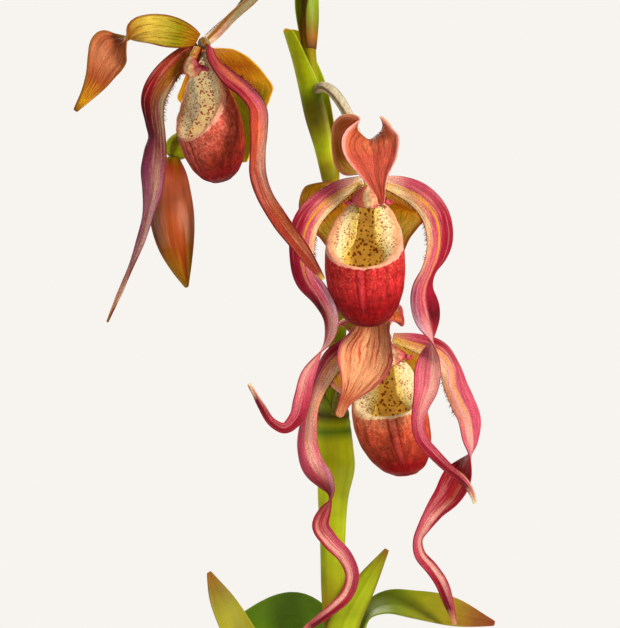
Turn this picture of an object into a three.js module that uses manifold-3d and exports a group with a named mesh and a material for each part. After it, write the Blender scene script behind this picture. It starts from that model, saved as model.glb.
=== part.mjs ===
// Phragmipedium orchid: three hanging-petalled flowers and a bud on one stem,
// over a fan of strap leaves, in a plain clay pot of bark.
// Millimetres, +Z up, the flowers face -Y, the origin is the centre of the pot's foot.
import * as THREE from "three";
import Module from "manifold-3d";

const wasm = await Module();
wasm.setup();

// ---------------------------------------------------------------- dimensions
const POT_HEIGHT = 130; // foot to rim
const POT_FOOT_RADIUS = 57.5;
const POT_RIM_RADIUS = 75;
const POT_WALL = 4.5;
const POT_BAND = 24; // height of the thicker rim band
const DRAIN_RADIUS = 5;
const DRAIN_CIRCLE = 28; // distance of the drain holes from the axis
const BARK_LEVEL = 118; // top of the growing medium
const BARK_CHIPS = 22;
const CROWN_RADIUS = 17;
const CROWN_TOP = 112; // leaves and stem stand on this face
const GAP = 0.35; // clearance between neighbouring pieces
const HUB_RADIUS = 3; // rounded end of an ovary, at a flower's centre
const BLADE = 0.9; // thickness of petals, sepals and leaves
const SLIVER = 0.04; // edges shorter than this close up after a join or a cut
const UP = [0, 0, 1];
const VIEWER = [0, -1, 0];
const BACK = [0, 1, 0];

// The centre of each flower; how its face turns about +Z, leans about +Y and nods about +X,
// in degrees; and its size.
const FLOWERS = {
  1: { at: [-55, -28, 496], turn: -50, lean: 0, nod: 20, size: 0.94 },
  2: { at: [14.5, -38, 438], turn: -6, lean: 0, nod: 0, size: 1 },
  3: { at: [21.5, -14, 372], turn: 3, lean: -8, nod: 0, size: 0.96 },
};

// ------------------------------------------------------------------- vectors
const rad = (degrees) => (degrees * Math.PI) / 180;
const add = (a, b, k = 1) => a.map((v, i) => v + k * b[i]);
const sub = (a, b) => add(a, b, -1);
const scale = (a, k) => a.map((v) => v * k);
const dot = (a, b) => a[0] * b[0] + a[1] * b[1] + a[2] * b[2];
const cross = (a, b) => [
  a[1] * b[2] - a[2] * b[1],
  a[2] * b[0] - a[0] * b[2],
  a[0] * b[1] - a[1] * b[0],
];
const unit = (a) => scale(a, 1 / Math.hypot(...a));

// A smooth run through rows of numbers whose first three are a place: steps + 1 rows come back,
// evenly spaced along the run, with every further column blended the same way.
function flow(rows, steps) {
  const at = [0];
  for (let i = 1; i < rows.length; i++) {
    at.push(at[i - 1] + Math.hypot(...sub(rows[i], rows[i - 1]).slice(0, 3)));
  }
  const slope = (i) => scale(sub(rows[i + 1], rows[i]), 1 / (at[i + 1] - at[i]));
  const last = rows.length - 1;
  const tangents = rows.map((_, i) => {
    if (i === 0) return slope(0);
    if (i === last) return slope(last - 1);
    const before = at[i] - at[i - 1];
    const after = at[i + 1] - at[i];
    return scale(add(scale(slope(i - 1), after), slope(i), before), 1 / (before + after));
  });
  return Array.from({ length: steps + 1 }, (_, n) => {
    const t = (at[last] * n) / steps;
    let i = 0;
    while (i < last - 1 && at[i + 1] < t) i++;
    const span = at[i + 1] - at[i];
    const u = (t - at[i]) / span;
    const a = scale(rows[i], (1 + 2 * u) * (1 - u) ** 2);
    const b = scale(tangents[i], span * u * (1 - u) ** 2);
    const c = scale(rows[i + 1], u * u * (3 - 2 * u));
    const d = scale(tangents[i + 1], span * u * u * (u - 1));
    return add(add(a, b), add(c, d));
  });
}

const directions = (path) =>
  path.map((_, i) =>
    unit(sub(path[Math.min(i + 1, path.length - 1)], path[Math.max(i - 1, 0)]).slice(0, 3)),
  );

// -------------------------------------------------------------------- solids
// A closed surface from points and triangles, turned so that its faces look outwards.
function solid(points, faces) {
  const sixfold = faces.reduce(
    (sum, [a, b, c]) => sum + dot(points[a], cross(points[b], points[c])),
    0,
  );
  const outward = sixfold < 0 ? faces.map(([a, b, c]) => [a, c, b]) : faces;
  const geometry = new THREE.BufferGeometry();
  geometry.setAttribute("position", new THREE.Float32BufferAttribute(points.flat(), 3));
  geometry.setIndex(outward.flat());
  geometry.computeVertexNormals();
  return geometry;
}

// Rings of equally many points joined one to the next and closed to a point at both ends.
function skin(start, rings, end) {
  const count = rings[0].length;
  const points = [start, ...rings.flat(), end];
  const faces = [];
  const id = (ring, j) => 1 + ring * count + (j % count);
  for (let j = 0; j < count; j++) {
    faces.push([0, id(0, j + 1), id(0, j)]);
    for (let i = 0; i + 1 < rings.length; i++) {
      faces.push([id(i, j), id(i, j + 1), id(i + 1, j + 1)]);
      faces.push([id(i, j), id(i + 1, j + 1), id(i + 1, j)]);
    }
    faces.push([id(rings.length - 1, j), id(rings.length - 1, j + 1), points.length - 1]);
  }
  return solid(points, faces);
}

// A stalk through rows [x, y, z, radius].
function stalk(rows, { sides = 10, steps = 16 } = {}) {
  const path = flow(rows, steps);
  const along = directions(path);
  let across = unit(cross(along[0], Math.abs(along[0][1]) < 0.8 ? BACK : UP));
  const rings = path.map((row, i) => {
    across = unit(sub(across, scale(along[i], dot(across, along[i]))));
    const other = cross(along[i], across);
    return Array.from({ length: sides }, (_, j) => {
      const turn = (2 * Math.PI * j) / sides;
      const rim = add(scale(across, Math.cos(turn)), scale(other, Math.sin(turn)));
      return add(row.slice(0, 3), rim, row[3]);
    });
  });
  return skin(path[0].slice(0, 3), rings, path[steps].slice(0, 3));
}

// A sheet over a grid of places, each [place, direction its upper face looks, half thickness].
// A ring sheet closes on itself sideways and its first row gathers to a point.
function sheet(grid, ring = false) {
  const steps = grid.length - 1;
  const row = grid[0].length;
  const across = ring ? row : row - 1;
  const size = row * (steps + 1);
  const layer = (sign) => grid.flat().map(([at, face, reach]) => add(at, face, sign * reach));
  const points = [...layer(1), ...layer(-1)];
  const faces = [];
  const wall = (p, q) => faces.push([p, q, q + size], [p, q + size, p + size]);
  for (let j = 0; j < across; j++) {
    const k = (j + 1) % row;
    for (let i = 0; i < steps; i++) {
      const [a, b, c, d] = [i * row + j, i * row + k, (i + 1) * row + k, (i + 1) * row + j];
      faces.push([a, b, c], [a, c, d], [a + size, c + size, b + size]);
      faces.push([a + size, d + size, c + size]);
    }
    if (!ring) wall(k, j);
    wall(steps * row + j, steps * row + k);
  }
  if (ring) {
    const pole = (sign) => {
      const middle = [0, 1, 2].map((n) => grid[0].reduce((sum, g) => sum + g[0][n], 0) / row);
      return points.push(add(middle, UP, -sign * grid[0][0][2])) - 1;
    };
    const [above, below] = [pole(1), pole(-1)];
    for (let j = 0; j < row; j++) {
      const k = (j + 1) % row;
      faces.push([k, j, above], [j + size, k + size, below]);
    }
  } else {
    for (let i = 0; i < steps; i++) {
      wall(i * row, (i + 1) * row);
      wall((i + 1) * row + across, i * row + across);
    }
  }
  return solid(points, faces);
}

// A thin blade along rows [x, y, z, half width, roll, curl]. Its upper face looks towards
// `facing`, or its width lies along `side`; roll turns it about its own run. From the midrib
// to each edge the surface bends by curl degrees: above zero the edges fold under, below zero
// they fold up. A larger `hook` keeps the middle flat and bends only the edges.
function blade(rows, { facing, side, steps = 20, across = 4, hook = 1, thick = BLADE } = {}) {
  const path = flow(rows, steps);
  const along = directions(path);
  const slices = 12;
  const grid = path.map(([x, y, z, half, roll, curl], i) => {
    const t = along[i];
    const square = (v) => unit(sub(v, scale(t, dot(v, t))));
    const normal = side ? cross(square(side), t) : square(facing);
    const width = cross(t, normal);
    const c = Math.cos(rad(roll));
    const s = Math.sin(rad(roll));
    const n = add(scale(normal, c), width, s);
    const b = sub(scale(width, c), scale(normal, s));
    return Array.from({ length: across + 1 }, (_, j) => {
      const u = (2 * j) / across - 1;
      const bend = (w) => rad(curl) * Math.abs(w) ** hook;
      let out = 0;
      let under = 0;
      for (let k = 0; k < slices; k++) {
        const angle = bend((u * (k + 0.5)) / slices);
        out += (half * u * Math.cos(angle)) / slices;
        under += (half * Math.abs(u) * Math.sin(angle)) / slices;
      }
      const angle = Math.sign(u) * bend(u);
      const face = add(scale(n, Math.cos(angle)), b, Math.sin(angle));
      const middle = add(add([x, y, z], b, out), n, -under);
      return [middle, face, (thick / 2) * (1 - 0.25 * Math.abs(u))];
    });
  });
  return sheet(grid);
}

// A turned shape from a profile of [radius, height] that starts and ends on the axis.
function turned(profile, sides = 36) {
  const ring = ([r, z]) =>
    Array.from({ length: sides }, (_, j) => {
      const turn = (2 * Math.PI * j) / sides;
      return [r * Math.cos(turn), r * Math.sin(turn), z];
    });
  const inner = profile.slice(1, -1);
  return skin([0, 0, profile[0][1]], inner.map(ring), [0, 0, profile.at(-1)[1]]);
}

// ------------------------------------------------------------ joins and cuts
function toManifold(geometry) {
  const vertProperties = Float32Array.from(geometry.attributes.position.array);
  const triVerts = Uint32Array.from(geometry.index.array);
  return new wasm.Manifold(new wasm.Mesh({ numProp: 3, vertProperties, triVerts }));
}

function fromManifold(body) {
  const { vertProperties, triVerts, numProp } = body.simplify(SLIVER).getMesh();
  const points = [];
  for (let i = 0; i < vertProperties.length; i += numProp) {
    points.push([vertProperties[i], vertProperties[i + 1], vertProperties[i + 2]]);
  }
  const faces = [];
  for (let i = 0; i < triVerts.length; i += 3) faces.push([...triVerts.slice(i, i + 3)]);
  return solid(points, faces);
}

const fuse = (...geometries) =>
  fromManifold(geometries.map(toManifold).reduce((a, b) => a.add(b)));
const cut = (geometry, ...tools) =>
  fromManifold(tools.map(toManifold).reduce((a, b) => a.subtract(b), toManifold(geometry)));

// A repeatable run of numbers from 0 to 1.
function seeded(seed) {
  let state = seed;
  return () => {
    state = (state * 16807) % 2147483647;
    return state / 2147483647;
  };
}

// ------------------------------------------------------------------- pieces
const root = new THREE.Group();
root.name = "phragmipedium_orchid";

const COLOURS = {
  clay: 0xb5714a,
  bark: 0x6b4a32,
  crown: 0x8a7a4c,
  stem: 0x7f9a2a,
  bract: 0x6f9a22,
  leaf: 0x5f8a1e,
  ovary: 0x8a7a58,
  petal: 0xc4606c,
  sepal: 0xd4845c,
  synsepal: 0xc4a04c,
  pouch: 0xc23c40,
  column: 0xd8a040,
  bud: 0xb5713c,
};

function piece(name, geometry, slot, parent = root) {
  const mesh = new THREE.Mesh(
    geometry,
    new THREE.MeshStandardMaterial({ name: slot, color: COLOURS[slot], roughness: 0.6 }),
  );
  mesh.name = name;
  parent.add(mesh);
}

// The pot: a tapered clay wall with a rim band, a flat foot and four drain holes.
const bandFoot = POT_HEIGHT - POT_BAND;
const wallTop = POT_RIM_RADIUS - 6;
const pot = turned([
  [0, 0],
  [POT_FOOT_RADIUS - 1.5, 0],
  [POT_FOOT_RADIUS, 1.5],
  [wallTop, bandFoot],
  [POT_RIM_RADIUS - 1, bandFoot + 1],
  [POT_RIM_RADIUS, bandFoot + 3],
  [POT_RIM_RADIUS, POT_HEIGHT - 2],
  [POT_RIM_RADIUS - 2, POT_HEIGHT],
  [wallTop - POT_WALL + 5, POT_HEIGHT],
  [wallTop - POT_WALL + 3, POT_HEIGHT - 2],
  [wallTop - POT_WALL, bandFoot],
  [POT_FOOT_RADIUS - POT_WALL, 8],
  [POT_FOOT_RADIUS - POT_WALL - 2, 6],
  [0, 6],
]);
const drains = [0, 1, 2, 3].map((i) =>
  new THREE.CylinderGeometry(DRAIN_RADIUS, DRAIN_RADIUS, 20, 12)
    .rotateX(Math.PI / 2)
    .translate(
      DRAIN_CIRCLE * Math.cos(rad(45 + 90 * i)),
      DRAIN_CIRCLE * Math.sin(rad(45 + 90 * i)),
      0,
    ),
);

// Cylinders and boxes come with split corners; this joins them into one closed surface.
function welded(geometry) {
  const places = new Map();
  const points = [];
  const position = geometry.attributes.position;
  const ids = Array.from({ length: position.count }, (_, i) => {
    const p = [position.getX(i), position.getY(i), position.getZ(i)];
    const key = p.map((v) => v.toFixed(4)).join();
    if (!places.has(key)) places.set(key, points.push(p) - 1);
    return places.get(key);
  });
  const index = Array.from(geometry.index.array, (i) => ids[i]);
  const faces = [];
  for (let i = 0; i < index.length; i += 3) {
    const [a, b, c] = index.slice(i, i + 3);
    if (a !== b && b !== c && a !== c) faces.push([a, b, c]);
  }
  return solid(points, faces);
}
piece("pot", cut(pot, ...drains.map(welded)), "clay");

// The crown is a low rounded lump with five thick roots; both sit in plain holes in the bark.
const crownShape = (grow) =>
  turned(
    [
      [0, 96 - grow],
      [9, 97.5 - grow],
      [CROWN_RADIUS - 2 + grow, 102],
      [CROWN_RADIUS + grow, 107],
      [CROWN_RADIUS + grow, CROWN_TOP + grow * 30],
      [0, CROWN_TOP + grow * 30],
    ],
    20,
  );
const rootShape = (i, grow) => {
  const turn = rad(25 + 72 * i);
  const out = (r, z, radius) => [r * Math.cos(turn), r * Math.sin(turn), z, radius + grow];
  const tip = out(46, 58 - 5 * (i % 2) - grow, 1.6);
  return stalk([out(8, 102, 2.4), out(22, 94, 2.5), out(37, 80, 2.2), tip], {
    sides: 6,
    steps: 5,
  });
};
const rootCount = [0, 1, 2, 3, 4];
piece("crown", fuse(crownShape(0), ...rootCount.map((i) => rootShape(i, 0))), "crown");

// The bark: one body that fills the pot, with chips fused over its top.
const chance = seeded(77);
const between = (low, high) => low + (high - low) * chance();
const chips = Array.from({ length: BARK_CHIPS }, () => {
  const turn = between(0, 2 * Math.PI);
  const reach = Math.sqrt(between(24 ** 2, 56 ** 2));
  const chip = new THREE.BoxGeometry(between(11, 20), between(8, 13), between(4, 6.5))
    .rotateX(between(-0.35, 0.35))
    .rotateY(between(-0.35, 0.35))
    .rotateZ(between(0, Math.PI))
    .translate(reach * Math.cos(turn), reach * Math.sin(turn), BARK_LEVEL + between(-0.5, 1.5));
  return welded(chip);
});
const filling = turned([
  [0, 6 + GAP],
  [POT_FOOT_RADIUS - POT_WALL - 2.5, 6 + GAP],
  [POT_FOOT_RADIUS - POT_WALL - GAP, 8 + GAP],
  [wallTop - POT_WALL - GAP, bandFoot],
  [wallTop - POT_WALL - GAP + 1, BARK_LEVEL - 1],
  [wallTop - POT_WALL - GAP - 3, BARK_LEVEL],
  [0, BARK_LEVEL],
]);
piece(
  "bark_mix",
  cut(fuse(filling, ...chips), crownShape(GAP), ...rootCount.map((i) => rootShape(i, GAP))),
  "bark",
);

// The flowering stem, with a slight swelling at each node.
const stemRows = [
  [0, 0, CROWN_TOP + GAP, 4.4],
  [1, 0, 180, 4.4],
  [0, 0, 246, 4.2],
  [-0.5, 0, 262, 4.3],
  [-1, 0, 284, 4.1],
  [-1.5, 0, 310, 4],
  [-1, 0, 336, 4],
  [0.5, 1, 358, 3.8],
  [2, 2, 379.5, 3.6],
  [3, 2, 401, 3.4],
  [1.5, 1, 422.5, 3.2],
  [-1.5, 0, 441, 3.4],
  [-5.5, -1, 461.5, 2.9],
  [-8.5, -1, 476.5, 2.7],
  [-10, 0, 490, 2.6],
  [-11, 0, 499, 2.8],
  [-12, 1, 518, 2.4],
  [-13, 2, 535.5, 2.2],
  [-15, 3, 549.5, 1.7],
];
piece("stem", stalk(stemRows, { sides: 10, steps: 30 }), "stem");

// Sheathing bracts: each wraps the stem from its keel and opens towards its tip.
const bractRows = {
  bract_lower: [
    [-0.3, 5.6, 258, 16, 0, -165],
    [-0.9, 5.7, 285, 16.3, 0, -165],
    [-0.9, 6.6, 303, 18.7, 0, -162],
    [-0.5, 8, 320, 22, 0, -157],
    [-0.5, 7.8, 330, 18, 0, -130],
    [-0.3, 7.5, 337, 12, 0, -95],
    [0.8, 7.4, 350, 7, 0, -65],
    [2.2, 7, 362, 3.5, 0, -50],
    [2.6, 6.8, 367, 1, 0, -30],
  ],
  bract_middle: [
    [-5, 2.9, 442.5, 11.8, -40, -150],
    [-7.6, 3.2, 452, 12.4, -40, -145],
    [-11.8, 4, 467, 14.3, -40, -128],
    [-14.6, 4.2, 480, 12.7, -40, -110],
    [-17.5, 4.2, 492, 9.6, -40, -85],
    [-20, 4, 500, 6, -40, -60],
    [-21.5, 3.5, 504, 2.5, -40, -20],
  ],
  bract_upper: [
    [-8.2, 2.4, 500, 9.6, 40, -148],
    [-8, 3.5, 510, 11.4, 40, -140],
    [-8.3, 4.3, 520, 10.5, 40, -115],
    [-8.6, 5.5, 532, 7, 40, -75],
    [-9, 7, 542, 3.5, 40, -50],
    [-9.3, 7.6, 547, 1, 40, -10],
  ],
  bract_top: [
    [-10.8, 0.8, 538, 7, -30, -130],
    [-10.8, 0.7, 546, 7, -30, -100],
    [-11.5, 0.5, 553, 4, -30, -60],
    [-12.5, 0.7, 558, 1, -30, -10],
  ],
};
const bractFacing = {
  bract_lower: VIEWER,
  bract_middle: [1, 0, 0],
  bract_upper: [-1, 0, 0],
  bract_top: [-1, 0, 0],
};
for (const [name, rows] of Object.entries(bractRows)) {
  const shape = { facing: bractFacing[name], steps: 8, across: 6, thick: 0.7 };
  piece(name, blade(rows, shape), "bract");
}

// Leaves: strap blades whose bases nest round the stem like quarter tubes.
const leafSteps = { steps: 12, across: 4, thick: 1 };
const leaves = {
  leaf_front: {
    facing: BACK,
    rows: [
      [0, -6.2, 112.4, 8.6, 0, -80],
      [0, -7.3, 140, 8.6, 0, -62],
      [-1, -10, 185, 10, 0, -35],
      [0, -12, 225, 8.5, 0, -30],
      [4, -12, 249, 7, 0, -30],
      [13, -12, 266, 5, 0, -25],
      [22.5, -12, 281.5, 1, 0, 0],
    ],
  },
  leaf_behind: {
    facing: VIEWER,
    rows: [
      [0, 6.2, 112.4, 8.6, 0, -80],
      [0, 6.7, 135, 8, 0, -72],
      [0.5, 7.4, 155, 5.6, 0, -50],
      [0, 9.5, 180, 6, 0, -35],
      [-2.5, 15, 210, 9.5, 0, -32],
      [-4, 19, 236, 10.5, 2, -27],
      [-15, 21.5, 249, 10.5, 8, -25],
      [-38, 21, 240, 10, 10, -25],
      [-62, 19, 217, 7, 10, -25],
      [-80, 17, 188, 1, 10, 0],
    ],
  },
  leaf_left: {
    side: BACK,
    rows: [
      [-8.4, 0, 112.4, 12.6, 0, -86],
      [-9.2, 0, 135, 12.8, 0, -76],
      [-11.2, 0, 152, 13, -3, -62],
      [-16, 0.5, 175, 12.5, -30, -50],
      [-29, 2, 215, 10.5, -55, -40],
      [-43, 4, 245, 8, -60, -35],
      [-50, 5, 259, 5.5, -60, -25],
      [-54.5, 5, 270, 1, -60, 0],
    ],
  },
  leaf_right: {
    side: VIEWER,
    rows: [
      [8.4, 0, 112.4, 12.6, 0, -86],
      [9.4, 0, 135, 12.6, 0, -75],
      [13, 0, 180, 12, 0, -45],
      [12.5, 0, 225, 9.5, 0, -35],
      [12.5, 0, 243, 8, 5, -30],
      [15.5, -1, 253, 7.5, 20, -30],
      [22, -2.5, 256.5, 8, 32, -28],
      [34, -5, 255.8, 8.5, 40, -28],
      [51, -6, 253.2, 7.5, 50, -25],
      [69, -7, 249, 1, 50, 0],
    ],
  },
  leaf_outer_left: {
    side: BACK,
    rows: [
      [-10.6, 0, 112.4, 13.3, 0, -72],
      [-12.5, 0, 130, 13.5, 0, -62],
      [-27, -3, 168, 13.5, 0, -40],
      [-60, -9, 204, 13, 5, -32],
      [-102, -16, 212, 12.5, 10, -30],
      [-142, -23, 190, 10.5, 10, -28],
      [-170, -28, 152, 1, 10, 0],
    ],
  },
  leaf_outer_right: {
    side: VIEWER,
    rows: [
      [10.6, 0, 112.4, 13.3, 0, -72],
      [13, 0, 130, 13.5, 0, -60],
      [33, 5, 166, 13.5, 0, -40],
      [70, 13, 194, 13, 0, -32],
      [112, 21, 193, 12.5, 0, -30],
      [148, 27, 165, 10.5, 0, -28],
      [168, 30, 130, 1, 0, 0],
    ],
  },
  leaf_low_left: {
    side: BACK,
    rows: [
      [-12.8, 0, 112.4, 13.8, 0, -62],
      [-13.6, -0.2, 119, 13.8, 0, -57],
      [-20, -2.5, 130, 14, 0, -50],
      [-42, -14, 151, 13.5, 0, -38],
      [-78, -36, 161, 13, 0, -30],
      [-112, -58, 146, 10.5, 0, -28],
      [-132, -72, 116, 1, 0, 0],
    ],
  },
  leaf_low_right: {
    side: VIEWER,
    rows: [
      [12.8, 0, 112.4, 13.8, 0, -62],
      [13.6, -0.2, 119, 13.8, 0, -57],
      [21, -2.5, 129, 14, 0, -50],
      [46, -14, 147, 13.5, 0, -36],
      [80, -34, 153, 12.5, 0, -30],
      [110, -54, 138, 10, 0, -28],
      [129, -68, 111, 1, 0, 0],
    ],
  },
};
for (const [name, { rows, facing, side }] of Object.entries(leaves)) {
  piece(name, blade(rows, { facing, side, ...leafSteps }), "leaf");
}

// Flower stalks: each leaves the stem above its bract and ends in a rounded hub.
const ovaryRuns = {
  1: [
    [-15.1, -1.8, 519, 1.7],
    [-17.5, -5, 524.5, 2],
    [-22, -9, 526.5, 2.1],
    [-28.5, -14.5, 522.5, 2.1],
    [-36, -19.5, 514.5, 2.1],
    [-43.5, -23.5, 507.5, 2.2],
    [-50, -26, 500.5, 2.3],
  ],
  2: [
    [-5, -6, 468, 1.6],
    [-7.5, -9.5, 475, 2.1],
    [-3, -14, 478, 2.3],
    [3.5, -19, 470.5, 2.3],
    [8.5, -22, 459, 2.3],
    [11.5, -25.5, 448.5, 2.4],
    [13.5, -31, 441, 2.4],
  ],
  3: [
    [-0.1, -5.7, 338.5, 1.7],
    [2.5, -8, 348, 2.1],
    [6, -6.5, 357, 2.2],
    [11, -3, 364.5, 2.3],
    [16, -2, 369.5, 2.4],
    [20, -6.5, 371.5, 2.4],
  ],
};
const budStalk = [
  [-15.8, 5.1, 541.5, 1.5],
  [-19.5, 8.5, 544.5, 1.8],
  [-26, 11, 539.5, 2],
  [-35, 12, 525, 2.1],
  [-42, 12.8, 514.5, 2.1],
  [-50, 13.2, 507.5, 2.1],
  [-57, 13.5, 500.5, 2.1],
  [-61, 13.5, 490, 2.1],
  [-61.8, 13.2, 475, 2.2],
  [-62, 12, 464, 2.8],
  [-64, 11, 459.5, 4.6],
  [-66.8, 10.3, 456.2, 5.4],
  [-69.2, 9.6, 454, 4.6],
  [-70.4, 9, 452.4, 2.6],
];
for (const [n, run] of Object.entries(ovaryRuns)) {
  const { at: centre, size } = FLOWERS[n];
  const ball = new THREE.SphereGeometry(HUB_RADIUS * size, 8, 6).translate(...centre);
  const rows = [...run, [...centre, 2]];
  piece(`ovary_${n}`, fuse(stalk(rows, { sides: 8, steps: 12 }), welded(ball)), "ovary");
}
piece("ovary_bud", stalk(budStalk, { sides: 8, steps: 20 }), "ovary");
piece(
  "bud",
  stalk(
    [
      [-71, 8.5, 450, 2.6],
      [-71.2, 8.2, 444, 5.5],
      [-71.4, 7.5, 434, 8.8],
      [-70.8, 6.8, 424, 9.7],
      [-69, 5.8, 412, 8],
      [-66.5, 4.6, 402, 4.6],
      [-64, 4, 393.5, 0.8],
    ],
    { sides: 14, steps: 12 },
  ),
  "bud",
);

// ------------------------------------------------------------------ flowers
// Petals and dorsal sepals: rows relative to the flower's centre, in the plant's own axes.
const petals = {
  petal_left_1: [
    [-2.6, 2.2, -0.8, 2, 0, 0],
    [-9.5, 3.1, -5.5, 4.2, 0, 15],
    [-17.3, 0.4, -14.5, 5.6, 5, 25],
    [-22, -3, -24.5, 5.8, 15, 35],
    [-21.5, -5, -33, 5.4, 35, 40],
    [-20.5, -6, -39, 5.4, 45, 35],
    [-21, -7, -45.5, 5.8, 25, 35],
    [-21.5, -8, -53, 6, 15, 35],
    [-21.5, -9, -61, 5.2, 25, 35],
    [-23, -10, -70, 3.8, 35, 30],
    [-26.5, -10, -84.5, 2.2, 40, 20],
    [-32, -10, -98.5, 1.4, 40, 10],
    [-40, -10, -117.5, 0.6, 40, 0],
  ],
  petal_right_1: [
    [2.4, -2.8, -1.4, 2, 105, 0],
    [4, -9, -8, 3.8, 105, 10],
    [10.4, -15.5, -16, 4.6, 110, 15],
    [17.8, -19, -23, 4.8, 115, 20],
    [22.5, -21, -29.5, 4.6, 125, 25],
    [23, -23, -38.5, 4.4, 135, 30],
    [22.5, -24, -47.5, 4, 145, 30],
    [23, -25, -57, 3.9, 150, 30],
    [26, -26, -66.5, 3.9, 160, 30],
    [32, -27, -75.5, 3.8, 165, 30],
    [39, -29, -85, 3.4, 175, 25],
    [45, -31, -93, 2.4, 180, 15],
    [50, -33, -100, 0.8, 180, 0],
  ],
  petal_left_2: [
    [-3.4, -1, -0.5, 2, 0, 0],
    [-11.5, -3, -4, 4.2, 0, 15],
    [-20, -6, -10, 5.4, 0, 25],
    [-27, -10, -19.5, 5.8, 0, 30],
    [-29, -12, -31.5, 5.8, 15, 40],
    [-27, -13, -42, 6, 30, 45],
    [-21.5, -13, -50, 6, 40, 45],
    [-17.5, -13, -58.5, 5.6, 55, 35],
    [-18, -13, -66.5, 4.8, 75, 20],
    [-22, -13, -73.5, 4.2, 100, 10],
    [-26.5, -13, -81.5, 4.2, 135, 20],
    [-28.5, -13, -90.5, 4, 160, 25],
    [-30.5, -14, -98.5, 3.2, 180, 20],
    [-35.5, -15, -103, 2.4, 195, 15],
    [-40.5, -16, -100.5, 1.9, 200, 10],
    [-45, -17, -93.5, 1.4, 200, 0],
    [-50, -18, -84.5, 0.7, 200, 0],
  ],
  petal_right_2: [
    [3.2, -1, -0.5, 2, 0, 0],
    [13, -3, -3, 4.4, 0, 15],
    [21.5, -7, -8, 5.8, -5, 25],
    [27.5, -10, -15.5, 6.4, -10, 35],
    [29, -12, -25.5, 6.2, -20, 40],
    [27.5, -13, -33, 5.6, -35, 45],
    [25, -13, -39, 5.4, -50, 45],
    [22.5, -13, -46, 6, -30, 40],
    [23, -12, -53.5, 6.6, -15, 40],
    [24.5, -12, -60, 6.2, -40, 30],
    [25.5, -12, -67, 5, -85, 15],
    [24.5, -12, -74, 5.2, -140, 20],
    [23.5, -12, -80.5, 5.8, -170, 30],
    [22.5, -12, -87, 5.4, -190, 35],
    [20.5, -12, -93, 4.2, -200, 35],
    [19, -12, -100, 3.2, -200, 30],
    [20.5, -12, -107, 2.8, -195, 20],
    [26, -12, -113.5, 2.4, -190, 10],
    [32.5, -12, -120, 2.1, -190, 10],
    [38.5, -12, -125, 1.8, -190, 0],
    [41.5, -12, -129.5, 1.3, -190, 0],
    [43, -12, -134, 0.7, -190, 0],
  ],
  petal_left_3: [
    [-3.3, -1, 0, 2, 0, 0],
    [-13, -4, -3, 4.2, 5, 15],
    [-21.5, -7, -8.5, 5.2, 15, 25],
    [-28, -8, -18, 5.2, 35, 35],
    [-32, -8, -28, 5, 55, 40],
    [-33.5, -6, -37, 5.2, 40, 40],
    [-34, -4, -46, 5.6, 25, 45],
    [-31.5, -4, -54.5, 6, 20, 50],
    [-26.5, -4, -61.5, 5.6, 40, 40],
    [-23.5, -4, -67.5, 4.6, 80, 20],
    [-26, -4, -73.5, 4.2, 125, 15],
    [-28, -4, -79.5, 4.2, 155, 25],
    [-23.5, -5, -86.5, 3.6, 175, 25],
    [-17, -5, -93, 3.3, 185, 20],
    [-14, -6, -100.5, 3.1, 185, 20],
    [-16.5, -6, -109, 2.8, 185, 15],
    [-22.5, -7, -115, 2.3, 190, 10],
    [-28.5, -8, -119.5, 1.8, 190, 10],
    [-33.5, -9, -123, 1.3, 190, 0],
    [-37.5, -10, -126.5, 0.7, 190, 0],
  ],
  petal_right_3: [
    [3.2, -1, 0, 2, 0, 0],
    [14, -2, -2.5, 4.2, -5, 15],
    [23.5, -4, -6, 5.4, -20, 30],
    [28.5, -5, -13, 5.6, -30, 45],
    [30, -5, -20.5, 5.6, -10, 40],
    [33, -5, -27.5, 5.6, 0, 35],
    [36, -5, -34, 5.4, -10, 35],
    [37, -5, -41.5, 5.4, -40, 35],
    [37, -5, -48, 5.8, -75, 20],
    [34, -5, -55, 6.6, -120, 20],
    [30.5, -5, -60.5, 7, -155, 30],
    [26.5, -5, -67, 6.2, -175, 35],
    [21, -5, -73, 4.6, -190, 35],
    [16.5, -5, -79.5, 3.6, -205, 25],
    [13.5, -5, -86, 3, -225, 20],
    [14.5, -5, -92, 2.8, -215, 20],
    [19.5, -5, -98, 2.9, -195, 25],
    [23.5, -5, -104, 2.9, -185, 30],
    [26.5, -5, -111.5, 2.4, -180, 20],
    [28.5, -5, -117.5, 1.5, -180, 10],
    [29.5, -5, -122, 0.7, -180, 0],
  ],
};
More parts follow.
